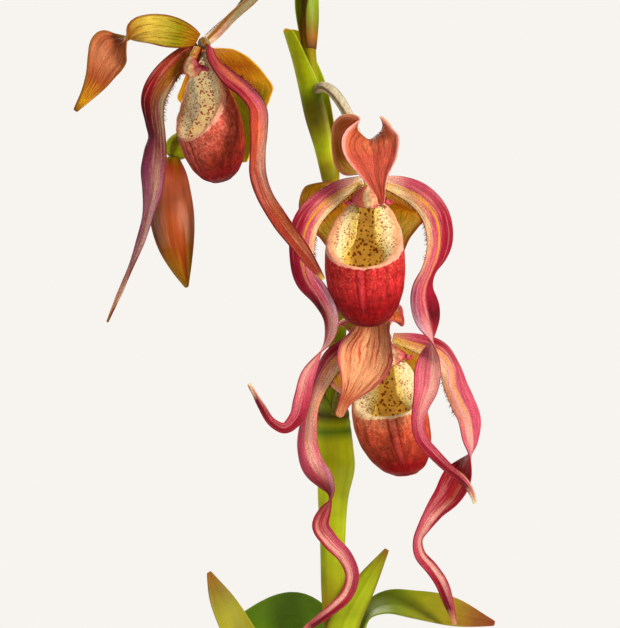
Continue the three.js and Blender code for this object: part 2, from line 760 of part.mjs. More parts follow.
const dorsals = {
  dorsal_sepal_1: [
    [-2.6, -2.6, 1.2, 2.6, 60, 0],
    [-5.7, -6, 1.9, 4.7, 75, 10],
    [-12.8, -13, 3.1, 6.8, 80, 25],
    [-20.7, -20, 3.1, 6.8, 70, 45],
    [-26.9, -25, 0.9, 7, 45, 60],
    [-30.8, -27, -1.8, 7.5, 10, 65],
    [-36.3, -30, -5.4, 8.2, -45, 40],
    [-39.9, -31, -11.2, 7.6, -80, 30],
    [-43.1, -32, -18.7, 5.6, -95, 25],
    [-47.2, -32, -25.6, 3.2, -100, 20],
    [-51.2, -32, -31.3, 0.9, -100, 0],
  ],
  dorsal_sepal_2: [
    [0, -0.5, 3.7, 2.6, 0, 0],
    [-2.5, 1.2, 8, 12, 0, 25],
    [-3.5, 0.5, 12.5, 15, 0, 50],
    [-2.5, -4.5, 15.6, 16, 0, 80],
    [0, -10.5, 16, 12.5, 0, 130],
    [0, -16, 12, 13.8, 0, 58],
    [1, -19.5, 6.5, 11, 0, 35],
    [1.8, -21, 0.5, 6.2, 0, 25],
    [3, -21, -4.5, 3.2, 0, 20],
    [4, -20, -8, 1.8, 0, 10],
    [4, -19, -11, 1.2, 0, 0],
  ],
  dorsal_sepal_3: [
    [0, -0.5, 3.7, 2.6, 0, 0],
    [-1.5, 1, 6.5, 11, 0, 25],
    [-5, -2, 9, 15, 0, 70],
    [-6.5, -9, 8.5, 17, 0, 130],
    [-7.5, -14.5, 5, 14, 0, 80],
    [-8.5, -17.5, -1.5, 12.5, 0, 40],
    [-9.5, -18.5, -8.5, 12, 0, 35],
    [-11.5, -18.5, -15, 9, 0, 30],
    [-14, -17.5, -21, 5.4, 0, 25],
    [-17, -16, -26.5, 2.8, 0, 15],
    [-20, -15, -33, 1.5, 0, 0],
  ],
};

// The synsepal hangs behind the pouch: rows in the flower's own axes (front is -Y). The
// youngest flower's is still held open; the others cup round their pouches.
const openSynsepal = [
  [0, 1.6, -3.5, 2.6, 0, 0],
  [0, 3.4, -4.2, 11, 0, 0],
  [0, 5.6, -7, 18, 0, -5],
  [0, 7.5, -12, 26, 0, -12],
  [0, 8.8, -19, 33, 0, -18],
  [0, 8.8, -27, 34, 0, -20],
  [0, 7.5, -37, 23, 0, -20],
  [0, 5.5, -47, 12, 0, -15],
  [0, 3, -57, 2, 0, 0],
];
const cuppedSynsepal = [
  [0, 1.6, -3.3, 2.6, 0, 0],
  [0, 3.4, -3.6, 14, 0, -5],
  [-0.5, 5.6, -5.5, 24, 0, -18],
  [-1.5, 7.4, -9.5, 30, 0, -36],
  [-1.5, 8.8, -16, 29, 0, -48],
  [-1, 8.8, -24, 22, 0, -48],
  [0, 7.8, -33, 15, 0, -42],
  [0, 5.5, -45, 9, 0, -30],
  [0, 2.5, -58, 2, 0, 0],
];

// The pouch. Its outside is an ellipse at every height; its mouth dips low in front and
// climbs to the hub behind, with side lobes that fold in over the opening.
const POUCH_AXIS = -11.5; // the ellipse centre, in front of the flower's centre
const POUCH_WALL = 1.2;
const pouchRadii = [
  // height, half width, half depth
  [-60.6, 3.5, 3],
  [-58.5, 8.5, 7],
  [-53, 12.6, 10.7],
  [-46, 15.2, 12.8],
  [-38, 16.2, 13.4],
  [-31, 16, 13.1],
  [-24, 15, 12.2],
  [-17, 13.4, 11.2],
  [-10.5, 10.9, 10.4],
  [-3.8, 7.2, 9.9],
];
const pouchCrest = [
  // degrees round from the front, crest height, width of the infolded lobe
  [0, -38, 1.8],
  [30, -36.5, 2.4],
  [60, -31, 7.5],
  [90, -24, 11.5],
  [120, -14, 9],
  [150, -7, 4.4],
  [180, -3.8, 1.4],
];

// A value read from rows keyed by their first number, eased between them.
function lookup(rows, key) {
  let i = 0;
  while (i < rows.length - 2 && rows[i + 1][0] < key) i++;
  const u = (key - rows[i][0]) / (rows[i + 1][0] - rows[i][0]);
  return rows[i].map((v, n) => v + u * (rows[i + 1][n] - v));
}

// How each pouch differs: how far its middle bows to its left, how much higher its mouth
// is in front, and the shares of the lobes' width on its left and its right.
const POUCHES = {
  1: { bow: -2, lift: 0, lobeWidths: [1.15, 0.5] },
  2: { bow: 1.2, lift: 0, lobeWidths: [1, 1] },
  3: { bow: 3.6, lift: 3.2, lobeWidths: [1, 1] },
};

function pouch({ bow, lift, lobeWidths }, around = 20) {
  const heights = [0, 0.04, 0.14, 0.3, 0.5, 0.74, 0.93];
  const lobes = [0.2, 0.5, 1]; // shares of the infolded width
  const bottom = pouchRadii[0][0];
  const turns = Array.from({ length: around }, (_, j) => (2 * Math.PI * (j + 0.5)) / around);
  const spot = (turn, z, inset) => {
    const [, rx, ry] = lookup(pouchRadii, z);
    const depth = Math.max(ry - inset * 0.9, 0.6);
    const bowed = bow * Math.sin((Math.PI * (z - bottom)) / -bottom);
    return [(rx - inset) * Math.sin(turn) - bowed, POUCH_AXIS - depth * Math.cos(turn), z];
  };
  const crest = (turn) => {
    const degrees = (turn * 180) / Math.PI;
    const [at, top, width] = lookup(pouchCrest, degrees > 180 ? 360 - degrees : degrees);
    const share = lobeWidths[Math.sin(turn) < 0 ? 0 : 1];
    const grown = 1 + (share - 1) * Math.abs(Math.sin(turn));
    return [at, top + lift * Math.max(Math.cos(turn), 0) ** 2, width * grown];
  };
  const wall = (share) =>
    turns.map((turn) => spot(turn, bottom + share * (crest(turn)[1] - bottom), 0));
  const lobe = (share) =>
    turns.map((turn) => {
      const [, top, width] = crest(turn);
      const inward = spot(turn, top, width * share);
      return [inward[0], inward[1], top + 0.5 * Math.sin(Math.PI * share) - 1.5 * share ** 2];
    });
  const rings = [...heights.map(wall), ...lobes.map(lobe)];
  const grid = rings.map((places, i) =>
    places.map((at, j) => {
      const rise = sub(
        rings[Math.min(i + 1, rings.length - 1)][j],
        rings[Math.max(i - 1, 0)][j],
      );
      const round = sub(places[(j + 1) % around], places[(j + around - 1) % around]);
      return [at, unit(cross(rise, round)), POUCH_WALL / 2];
    }),
  );
  return sheet(grid, true);
}

// The column stands out over the mouth and carries a broad shield with hooked corners.
function column() {
  const post = stalk(
    [
      [0, -3.9, -1, 1.8],
      [0, -7, -4, 2.4],
      [0, -11, -8.5, 2.6],
    ],
    { sides: 8, steps: 5 },
  );
  const shield = blade(
    [
      [0, -10.5, -5.2, 1.5, 0, 10],
      [0, -11.6, -6.6, 5.5, 0, 25],
      [0, -12.3, -9, 9, 0, 50],
      [0, -12.3, -11, 6.5, 0, 50],
      [0, -11.8, -13, 2, 0, 20],
    ],
    { facing: VIEWER, steps: 6, across: 4, thick: 1.6 },
  );
  return fuse(post, shield);
}

for (const [n, { at, turn, lean, nod, size }] of Object.entries(FLOWERS)) {
  const flower = new THREE.Group();
  flower.name = `flower_${n}`;
  flower.position.set(...at);
  root.add(flower);
  const front = new THREE.Group();
  front.name = `flower_front_${n}`;
  front.rotation.set(rad(nod), rad(lean), rad(turn), "YZX");
  front.scale.setScalar(size);
  flower.add(front);
  const sepalSide = [Math.cos(rad(turn)), Math.sin(rad(turn)), 0];
  for (const hand of ["left", "right"]) {
    const name = `petal_${hand}_${n}`;
    piece(name, blade(petals[name], { facing: VIEWER, steps: 30, across: 3 }), "petal", flower);
  }
  const dorsal = `dorsal_sepal_${n}`;
  const dorsalShape = { side: sepalSide, steps: 16, across: 8, hook: n === "3" ? 1.7 : 1 };
  piece(dorsal, blade(dorsals[dorsal], dorsalShape), "sepal", flower);
  const synsepalRows = n === "1" ? openSynsepal : cuppedSynsepal;
  const synsepalShape = { facing: VIEWER, steps: 10, across: 8 };
  piece(`synsepal_${n}`, blade(synsepalRows, synsepalShape), "synsepal", front);
  piece(`pouch_${n}`, pouch(POUCHES[n]), "pouch", front);
  piece(`column_${n}`, column(), "column", front);
}

export default root;
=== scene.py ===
# %% [markdown]
# # A slipper orchid in its pot
# This notebook dresses a plain construction model of a phragmipedium, a slipper orchid whose
# petals hang and twist. The construction already says where each piece is and how large. Here
# nearly every piece is made anew in its place, with soft edges, a fine surface and its colours.
# The construction is loaded first and never moved.

# %% Load the frame
import math

import bpy
import numpy as np
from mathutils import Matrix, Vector


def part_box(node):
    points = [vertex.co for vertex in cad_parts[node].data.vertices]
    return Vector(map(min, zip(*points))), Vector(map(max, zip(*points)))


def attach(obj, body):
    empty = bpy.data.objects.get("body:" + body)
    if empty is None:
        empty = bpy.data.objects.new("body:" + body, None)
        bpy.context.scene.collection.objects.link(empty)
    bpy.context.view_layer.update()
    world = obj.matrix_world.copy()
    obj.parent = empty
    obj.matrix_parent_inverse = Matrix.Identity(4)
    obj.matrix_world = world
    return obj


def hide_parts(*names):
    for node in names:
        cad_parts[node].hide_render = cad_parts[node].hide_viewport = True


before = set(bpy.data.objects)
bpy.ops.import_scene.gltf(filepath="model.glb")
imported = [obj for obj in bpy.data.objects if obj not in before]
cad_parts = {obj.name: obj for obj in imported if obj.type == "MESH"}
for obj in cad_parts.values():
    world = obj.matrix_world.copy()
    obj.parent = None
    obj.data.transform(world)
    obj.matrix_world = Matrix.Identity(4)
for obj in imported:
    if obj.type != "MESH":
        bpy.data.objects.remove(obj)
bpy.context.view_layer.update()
bpy.ops.object.select_all(action="DESELECT")
MM = 0.001

# %% [markdown]
# ## Camera, floor and light
# A flower portrait is taken from well back with a long lens, level with the flowers, so that their
# outlines are true. The paper behind them is off-white. A sky could light the plant alone, but
# three lamps can be set one by one: a lamp above on the right, small enough to draw shadows,
# models the petals, a larger and weaker one on the left keeps the shadows open, and a lamp behind
# lets the edges glow. The world shows as paper, but lights the plant less than it shows, and more
# from above than from below, so that undersides stay deep.

# %% Camera, floor and light
CAMERA_PLACE = (-0.0105, -1.030, 0.382)
LENS = 136.5
PAPER = "f7f4ef"
FLOOR_RADIUS = 1.4
AIM = Vector((0, -0.02, 0.40))
LAMPS = [  # name, place and size in metres, watts, colour
    ("key_lamp", (0.78, -0.90, 0.86), 0.32, 19, (1.0, 0.97, 0.92)),
    ("fill_lamp", (-0.9, -0.8, 0.55), 0.7, 1.8, (0.96, 0.98, 1.0)),
    ("rim_lamp", (-0.35, 0.8, 0.95), 0.5, 8, (1.0, 0.99, 0.96)),
]
PAPER_LIGHT = {"From Min": -0.5, "From Max": 0.7, "To Min": 0.04, "To Max": 0.5}  # by height


def linear(hex_colour):
    """A web colour as the linear RGBA that shaders want."""
    parts = [int(hex_colour[i:i + 2], 16) / 255 for i in (0, 2, 4)]
    return (*[c / 12.92 if c <= 0.04045 else ((c + 0.055) / 1.055) ** 2.4 for c in parts], 1)


def soft_lamp(name, place, size, watts, tint):
    bpy.ops.object.light_add(type="AREA", location=place)
    lamp = bpy.context.object
    lamp.name = name
    lamp.rotation_euler = (AIM - Vector(place)).to_track_quat("-Z", "Y").to_euler()
    lamp.data.size = size
    lamp.data.energy = watts
    lamp.data.color = tint


bpy.ops.object.camera_add(location=CAMERA_PLACE, rotation=(math.radians(90), 0, 0))
camera = bpy.context.object
camera.data.lens = LENS
camera.data.sensor_width = 36
bpy.context.scene.camera = camera
for lamp in LAMPS:
    soft_lamp(*lamp)

world = bpy.data.worlds.new("paper")
bpy.context.scene.world = world
world.use_nodes = True
sky = world.node_tree.nodes
lit = sky["Background"]
lit.inputs["Color"].default_value = linear(PAPER)
seen = sky.new("ShaderNodeBackground")
seen.inputs["Color"].default_value = linear(PAPER)
either = sky.new("ShaderNodeMixShader")
ray = sky.new("ShaderNodeLightPath")
join = world.node_tree.links.new
heading = sky.new("ShaderNodeSeparateXYZ")
join(sky.new("ShaderNodeTexCoord").outputs["Generated"], heading.inputs[0])
glow = sky.new("ShaderNodeMapRange")
for socket, value in PAPER_LIGHT.items():
    glow.inputs[socket].default_value = value
join(heading.outputs["Z"], glow.inputs["Value"])
join(glow.outputs[0], lit.inputs["Strength"])
join(ray.outputs["Is Camera Ray"], either.inputs[0])
join(lit.outputs[0], either.inputs[1])
join(seen.outputs[0], either.inputs[2])
join(either.outputs[0], sky["World Output"].inputs["Surface"])

bpy.ops.mesh.primitive_circle_add(
    vertices=128, radius=FLOOR_RADIUS, fill_type="NGON", location=(0, 0, -0.3 * MM)
)
floor = bpy.context.object
floor.name = "floor"
bpy.context.scene.view_settings.view_transform = "Standard"
print(f"camera, {len(LAMPS)} lamps, paper world and floor are set")

# %% [markdown]
# ## Finishes
# Every finish is a Principled shader with a few nodes that paint it. They could be wired by hand
# in the shader editor, but a small helper class lets the same few steps serve every piece: it
# makes a node, feeds its sockets with numbers, with paints or with other nodes, and hands back
# what comes out. Patterns that follow a petal read its UV map, where U runs across the petal and V
# from the flower's centre to the tip. Paint that changes along a piece is written as a band, such
# as "0 cream, 0.4 rose": places from 0 to 1 and their paints.

# %% Paint box and node helper
PAINT = {
    "cream": "f2d9a2", "butter": "eec858", "straw": "d6b844", "olive": "8c8406",
    "bronze": "8a5410", "gold": "dc9c18", "amber": "b8680a", "peach": "e6a070",
    "salmon": "cf6c48", "coral": "bc462a", "scarlet": "b42426", "brick": "983420",
    "terra": "c0523e", "rose": "c44e62", "blush": "e8a294", "crimson": "94142a",
    "blood": "860a0e", "wine": "580a14", "plum": "762a3e", "lilac": "ba8898", "mauve": "904860",
    "russet": "743230", "dusty": "b4826e", "copper": "9e4c24", "rust": "7c2e0a",
    "maroon": "480e0e", "leaf": "6c7c04", "lime": "94a006", "spring": "aeb80c",
    "forest": "587a0a", "moss": "6e6804", "brown": "553010", "umber": "33200f",
    "taupe": "847552", "clay": "b9704a", "chalk": "d9b79c", "shade": "3a3606", "sand": "c8b898",
    "pearl": "dcd6ae", "fired": "a65f3c", "linen": "ece8e2", "paper": "efebe5",
}
SPECULAR = 0.06  # plants hardly shine


class Finish:
    """One material: its Principled shader and the nodes that paint it."""

    def __init__(self, name, roughness, **fixed):
        self.material = bpy.data.materials.new(name)
        self.material.use_nodes = True
        self.nodes = self.material.node_tree.nodes
        self.links = self.material.node_tree.links
        self.shader = self.nodes["Principled BSDF"]
        self.shader.inputs["Roughness"].default_value = roughness
        self.shader.inputs["Specular IOR Level"].default_value = SPECULAR
        for socket, value in fixed.items():
            self.shader.inputs[socket.replace("_", " ")].default_value = value

    def feed(self, socket, value):
        """A socket takes another node's output, a paint's name or a number."""
        if isinstance(value, bpy.types.NodeSocket):
            self.links.new(value, socket)
        else:
            socket.default_value = linear(PAINT[value]) if isinstance(value, str) else value

    def node(self, kind, inputs, out=0, **settings):
        node = self.nodes.new(kind)
        for setting, value in settings.items():
            setattr(node, setting, value)
        for socket, value in inputs.items():
            self.feed(node.inputs[socket], value)
        return node.outputs[out]

    def uv(self):
        """U and V of the piece's own map."""
        place = self.node("ShaderNodeUVMap", {}, uv_map="UVMap")
        split = self.nodes.new("ShaderNodeSeparateXYZ")
        self.feed(split.inputs[0], place)
        return split.outputs["X"], split.outputs["Y"]

    def spot(self):
        """The point's place in the plant's own frame."""
        return self.node("ShaderNodeTexCoord", {}, out="Object")

    def reach(self, axis):
        """The point's place along one axis of the plant."""
        return self.node("ShaderNodeSeparateXYZ", {0: self.spot()}, out=axis)

    def tint(self):
        """The number that each copy in a gathered piece carries."""
        return self.node("ShaderNodeAttribute", {}, out="Fac", attribute_name="tint")

    def math(self, operation, a, b=0.0):
        return self.node("ShaderNodeMath", {0: a, 1: b}, operation=operation)

    def times(self, a, b):
        return self.math("MULTIPLY", a, b)

    def plus(self, a, b):
        return self.math("ADD", a, b)

    def minus(self, a, b):
        return self.math("SUBTRACT", a, b)

    def away(self, value, middle):
        """How far a value lies from a middle, on either side."""
        return self.math("ABSOLUTE", self.minus(value, middle))

    def ease(self, value, start, end):
        """0 before start, 1 past end, and smooth between them."""
        inputs = {"Value": value, "From Min": start, "From Max": end}
        return self.node("ShaderNodeMapRange", inputs, interpolation_type="SMOOTHSTEP")

    def noise(self, vector, scale, detail=2.0, distortion=0.0):
        inputs = {"Vector": vector, "Scale": scale, "Detail": detail, "Distortion": distortion}
        return self.node("ShaderNodeTexNoise", inputs)

    def streaks(self, u, v, across, along, detail=2.0, distortion=0.0, z=0.0):
        """A noise on the map, so many times across and along the piece."""
        place = {0: self.times(u, across), 1: self.times(v, along), 2: z}
        return self.noise(self.node("ShaderNodeCombineXYZ", place), 1.0, detail, distortion)

    def mix(self, share, a, b, blend="MIX"):
        inputs = {"Factor": share, 6: a, 7: b}
        return self.node("ShaderNodeMix", inputs, out=2, data_type="RGBA", blend_type=blend)

    def ramp(self, value, band):
        """Paint that changes along a value, from a band such as "0 cream, 0.4 rose"."""
        node = self.nodes.new("ShaderNodeValToRGB")
        stops = node.color_ramp.elements
        for i, words in enumerate(band.split(", ")):
            place, paint = words.split()
            stop = stops.new(float(place)) if i > 1 else stops[i]
            stop.position = float(place)
            stop.color = linear(PAINT[paint])
        self.feed(node.inputs[0], value)
        return node.outputs[0]

    def shade(self, body, value, dark, light):
        """The body multiplied by a noise, as a grey between dark and light."""
        level = self.node("ShaderNodeMapRange", {
            "Value": value, "From Min": 0.25, "From Max": 0.75, "To Min": dark, "To Max": light,
        })
        grey = self.node("ShaderNodeCombineColor", {0: level, 1: level, 2: level})
        return self.mix(1.0, body, grey, "MULTIPLY")

    def relief(self, height, distance_mm):
        inputs = {"Height": height, "Distance": distance_mm * MM, "Strength": 1.0}
        self.links.new(self.node("ShaderNodeBump", inputs), self.shader.inputs["Normal"])

    def done(self, colour):
        self.feed(self.shader.inputs["Base Color"], colour)
        return self.material


sheet = Finish("paper_floor", 0.9)
sheet_tone = sheet.noise(sheet.spot(), 3.0)
floor.data.materials.append(sheet.done(sheet.mix(sheet_tone, "linen", "paper")))
print(f"the paint box holds {len(PAINT)} paints")

# %% [markdown]
# ## From a flat grid to a grown blade
# Petals, sepals, bracts and leaves are all blades: a thin sheet with a midrib that bends, rolls
# and tapers. They could be sculpted, or bent with Simple Deform, but then no two steps could be
# changed on their own. Here each starts as a flat grid primitive. Its points are then carried onto
# the blade, row by row along a smooth run, and a Solidify and a Subdivision modifier give it its
# thickness and its soft edges. A second helper wraps a grid round into a tube, for the stem, the
# flower stalks and the bud.

# %% Runs, blades and tubes
BEND_SLICES = 12  # how finely a curl is summed across half a blade
WELD = 0.01  # in mm, points closer than this become one


def unit(vectors):
    """The vectors at length 1."""
    return vectors / np.linalg.norm(vectors, axis=-1, keepdims=True)


def flow(rows, steps):
    """Even steps on a smooth run through rows whose first three numbers are a place in mm."""
    rows = np.array(rows, float)
    gaps = np.linalg.norm(np.diff(rows[:, :3], axis=0), axis=1)
    reached = np.concatenate([[0], np.cumsum(gaps)])
    slopes = np.diff(rows, axis=0) / gaps[:, None]
    before, after = gaps[:-1, None], gaps[1:, None]
    inner = (slopes[:-1] * after + slopes[1:] * before) / (before + after)
    tangents = np.vstack([slopes[:1], inner, slopes[-1:]])
    t = np.linspace(0, reached[-1], steps + 1)
    i = np.clip(np.searchsorted(reached, t, side="right") - 1, 0, len(gaps) - 1)
    span = gaps[i][:, None]
    u = (t - reached[i])[:, None] / span
    start = (1 + 2 * u) * (1 - u) ** 2 * rows[i] + span * u * (1 - u) ** 2 * tangents[i]
    end = u * u * (3 - 2 * u) * rows[i + 1] + span * u * u * (u - 1) * tangents[i + 1]
    return start + end


def blade_places(rows, along, across, facing=None, side=None, hook=1.0, detail=None):
    """Where a blade's grid points lie, from rows [x, y, z, half width, roll, curl]. Its upper
    face looks towards `facing`, or its width lies along `side`. `detail(u, v)` raises the
    upper face by so many mm, u from -1 to 1 across and v from 0 to 1 along."""
    path = flow(rows, along)
    spot, half = path[:, :3], path[:, 3:4]
    roll, curl = np.radians(path[:, 4:5]), np.radians(np.maximum(path[:, 5:6], -180))
    run = unit(np.gradient(spot, axis=0))
    flat = np.array(side if side is not None else facing, float)
    square = unit(flat - run * (run @ flat)[:, None])
    normal = np.cross(square, run) if side is not None else square
    width = np.cross(run, normal)
    n = normal * np.cos(roll) + width * np.sin(roll)
    b = width * np.cos(roll) - normal * np.sin(roll)
    u = np.linspace(-1, 1, across + 1)[None, :]
    slices = (np.arange(BEND_SLICES) + 0.5) / BEND_SLICES
    bend = curl[..., None] * np.abs(u[..., None] * slices) ** hook
    out = half * u * np.cos(bend).mean(-1)
    under = half * np.abs(u) * np.sin(bend).mean(-1)
    places = spot[:, None] + b[:, None] * out[..., None] - n[:, None] * under[..., None]
    if detail is not None:
        tilt = np.sign(u) * curl * np.abs(u) ** hook
        face = n[:, None] * np.cos(tilt)[..., None] + b[:, None] * np.sin(tilt)[..., None]
        v = np.linspace(0, 1, along + 1)[:, None]
        places = places + face * detail(u, v)[..., None]
    return places


def tube_places(rows, around, along, swell=None):
    """Where a closed tube's grid points lie, from rows [x, y, z, radius]. `swell(turn, v)`
    multiplies the radius."""
    path = flow(rows, along)
    spot = path[:, :3]
    run = unit(np.gradient(spot, axis=0))
    across = np.cross(run[0], (0, 1, 0) if abs(run[0][1]) < 0.8 else (0, 0, 1))
    turn = np.linspace(0, 2 * math.pi, around + 1)
    v = np.linspace(0, 1, along + 1)[:, None]
    radius = path[:, 3:4] * (swell(turn[None, :], v) if swell else 1.0)
    rings = []
    for i in range(along + 1):
        across = unit(across - run[i] * (across @ run[i]))
        other = np.cross(run[i], across)
        rim = np.cos(turn)[:, None] * across + np.sin(turn)[:, None] * other
        rings.append(spot[i] + rim * np.broadcast_to(radius, (along + 1, around + 1))[i][:, None])
    cap = [np.repeat(spot[i][None], around + 1, axis=0) for i in (0, -1)]
    return np.array([cap[0], *rings, cap[1]])


def grid_piece(name, places, closed=False):
    """A grid primitive with its points carried to their places."""
    rows, columns = places.shape[0] - 1, places.shape[1] - 1
    bpy.ops.mesh.primitive_grid_add(x_subdivisions=columns, y_subdivisions=rows, size=2)
    piece = bpy.context.object
    piece.name = name
    flat = np.empty(len(piece.data.vertices) * 3)
    piece.data.vertices.foreach_get("co", flat)
    flat = flat.reshape(-1, 3)
    column = np.rint((flat[:, 0] + 1) / 2 * columns).astype(int)
    row = np.rint((flat[:, 1] + 1) / 2 * rows).astype(int)
    piece.data.vertices.foreach_set("co", (places[row, column] * MM).ravel())
    if closed:
        bpy.ops.object.mode_set(mode="EDIT")
        bpy.ops.mesh.select_all(action="SELECT")
        bpy.ops.mesh.remove_doubles(threshold=WELD * MM)
        bpy.ops.object.mode_set(mode="OBJECT")
    return piece


def apply_modifiers(piece):
    bpy.ops.object.select_all(action="DESELECT")
    bpy.context.view_layer.objects.active = piece
    piece.select_set(True)
    for modifier in list(piece.modifiers):
        bpy.ops.object.modifier_apply(modifier=modifier.name)
    bpy.ops.object.shade_smooth()


def join_pieces(pieces):
    """The pieces as one, under the first piece's name."""
    bpy.ops.object.select_all(action="DESELECT")
    for piece in pieces:
        piece.select_set(True)
    bpy.context.view_layer.objects.active = pieces[0]
    bpy.ops.object.join()
    return bpy.context.object


def soften(piece, thickness_mm=None, finishes=()):
    """Gives a sheet its thickness and rounds it. Its under face takes the second finish."""
    for finish in finishes:
        piece.data.materials.append(finish)
    if thickness_mm:
        wall = piece.modifiers.new("thickness", "SOLIDIFY")
        wall.thickness = thickness_mm * MM
        wall.offset = 0
        wall.material_offset = 1
        wall.material_offset_rim = 1
    rounding = piece.modifiers.new("rounding", "SUBSURF")
    rounding.levels = rounding.render_levels = 1
    apply_modifiers(piece)


def stand_for(piece, node):
    """The piece stands for a construction node, and moves with the plant."""
    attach(piece, "root")
    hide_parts(node)
    low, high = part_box(node)
    points = np.array([v.co for v in piece.data.vertices])
    drift = max(np.abs(points.min(0) - low).max(), np.abs(points.max(0) - high).max())
    print(f"{piece.name}: {len(piece.data.polygons)} faces, within {drift / MM:.1f} mm of {node}")


print("runs, blades, tubes and their modifiers are ready")

# %% [markdown]
# ## Stem
# The flowering stem of a phragmipedium is a firm green stalk that swells a little at each node. A
# bevelled curve would make it too. It is wrapped from a grid instead, as a tube, because the grid
# brings a map on which paint can follow its length and the nodes can swell. It is yellow green and
# browner at the nodes. Near the top its left side is painted dark brown, as a painted shade.

# %% Stem
STEM = [
    [0, 0, 112.35, 4.4], [1, 0, 180, 4.4], [0, 0, 246, 4.2], [-0.5, 0, 262, 4.3],
    [-1, 0, 284, 4.1], [-1.5, 0, 310, 4], [-1, 0, 336, 4], [0.5, 1, 358, 3.8], [2, 2, 379.5, 3.6],
    [3, 2, 401, 3.4], [1.5, 1, 422.5, 3.2], [-1.5, 0, 441, 3.4], [-5.5, -1, 461.5, 2.9],
    [-8.5, -1, 476.5, 2.7], [-10, 0, 490, 2.6], [-11, 0, 499, 2.8], [-12, 1, 518, 2.4],
    [-13, 2, 535.5, 2.2], [-15, 3, 549.5, 1.7],
]
NODE_HEIGHTS = [0.33, 0.75, 0.885, 0.97]  # shares of the stem's length


def stem_finish():
    f = Finish("stem_skin", 0.42, Subsurface_Weight=0.1, Subsurface_Scale=0.002)
    u, v = f.uv()
    body = f.ramp(v, "0.25 olive, 0.32 bronze, 0.36 lime, 0.6 leaf, 0.74 olive, 0.78 lime, "
                     "0.86 olive, 0.895 bronze, 0.915 moss, 0.96 olive, 1 lime")
    streak = f.streaks(u, v, 26, 5, 3.0)
    body = f.shade(body, streak, 0.72, 1.25)
    for height in NODE_HEIGHTS:
        ring = f.ease(f.away(v, height), 0.014, 0.002)
        body = f.mix(f.times(ring, 0.5), body, "bronze")
    # painted shade: the stem's left side near the top is painted dark brown
    side = f.ease(f.reach("X"), -0.011, -0.0135)
    body = f.mix(f.times(side, f.ease(v, 0.86, 0.93)), body, "brown")
    f.relief(streak, 0.15)
    return f.done(body)


def node_swelling(turn, v):
    bumps = sum(0.09 * np.exp(-(((v - height) / 0.006) ** 2)) for height in NODE_HEIGHTS)
    return 1 + bumps + 0.012 * np.cos(9 * turn)


stem = grid_piece("stem_stalk", tube_places(STEM, 24, 150, node_swelling), closed=True)
soften(stem, finishes=[stem_finish()])
stand_for(stem, "stem")

# %% [markdown]
# ## Bracts
# At each node a bract sheathes the stem, as a folded leaf would. It could be cut out of a tube,
# but a short blade that is curled most of the way round the stem opens at its tip by itself. Fine
# ribs run along it, painted and raised together. The lowest is closed all round, with low rings
# under its mouth, painted shade between the rings, and a thin bright edge over painted shade
# inside the mouth. A weak glow stands for the light that comes through.

# %% Bracts
FRONT, RIGHT, BACK, LEFT = (0, -1, 0), (1, 0, 0), (0, 1, 0), (-1, 0, 0)
BRACT_THICKNESS = 0.6
BRACTS = {
    "bract_lower": (FRONT, [
        [-0.3, 4.5, 250, 14.2, 0, -180], [-0.5, 5.1, 264, 15.6, 0, -180],
        [-0.7, 5.4, 285, 16.6, 0, -180], [-0.5, 6.6, 303, 20.4, 0, -180],
        [0.6, 8.4, 316, 25.6, 0, -180], [0.2, 7.9, 325, 24.4, 0, -180],
        [-0.4, 7.4, 335, 22.4, 0, -180], [-0.3, 6.8, 341, 19.6, 0, -180],
        [0, 6.7, 345.5, 12.5, 0, -140], [0.6, 7, 351, 6.5, 0, -65], [2.2, 7, 362, 3.5, 0, -50],
        [2.6, 6.8, 367, 1, 0, -30],
    ]),
    "bract_middle": (RIGHT, [
        [-4.6, 1.6, 439, 9.8, -25, -156], [-6.2, 2.1, 446, 11.6, -22, -152],
        [-7.9, 2.4, 453, 12.8, -20, -148], [-12.2, 2.6, 467, 15, -16, -134],
        [-15, 2.4, 480, 14.6, -14, -112], [-17.8, 2.2, 492, 12.4, -14, -88],
        [-20.2, 2.2, 500, 11.2, -14, -74], [-21.3, 2.2, 503.5, 9.6, -14, -66],
        [-21.8, 2.2, 505, 6.5, -14, -40],
    ]),
    "bract_upper": (LEFT, [
        [-8.7, 1.9, 496, 7.7, 40, -150], [-8.2, 2.7, 503, 9.9, 40, -146],
        [-8, 3.5, 510, 11.4, 40, -140], [-8.3, 4.3, 520, 10.5, 40, -115],
        [-8.6, 5.5, 532, 7, 40, -75], [-9, 7, 542, 3.5, 40, -50], [-9.3, 7.6, 547, 1, 40, -10],
    ]),
    "bract_top": (LEFT, [
        [-10.8, 0.8, 538, 7, -30, -130], [-10.8, 0.7, 546, 7, -30, -100],
        [-11.5, 0.5, 553, 4, -30, -60], [-12.5, 0.7, 558, 1, -30, -10],
    ]),
}


def green_finish(name, along, margin, ribs, deep, blotch=0.3, glow=0.0):
    """A green blade: paint along it, paint on its margins, ribs and soft mottling."""
    f = Finish(name, 0.42, Subsurface_Weight=0.12, Subsurface_Scale=0.002,
               Specular_IOR_Level=0.2, Emission_Strength=glow)
    u, v = f.uv()
    out = f.away(f.times(u, 2.0), 1.0)
    body = f.mix(f.ease(out, 0.55, 1.0), f.ramp(v, along), f.ramp(v, margin))
    mottle = f.noise(f.spot(), 70.0, 4.0)
    body = f.shade(body, mottle, 1 - blotch, 1 + blotch)
    rib = f.streaks(u, v, ribs, 1.2, 2.0)
    body = f.shade(body, rib, 1 - deep, 1 + deep)
    f.relief(rib, 0.2)
    f.feed(f.shader.inputs["Emission Color"], body)
    return f.done(body)


def collar_rings(u, v):
    """Low rings where the sheath closes round the stem, under its mouth."""
    return 0.35 * np.sin(170 * v) * np.exp(-(((v - 0.74) / 0.06) ** 2)) + 0 * u


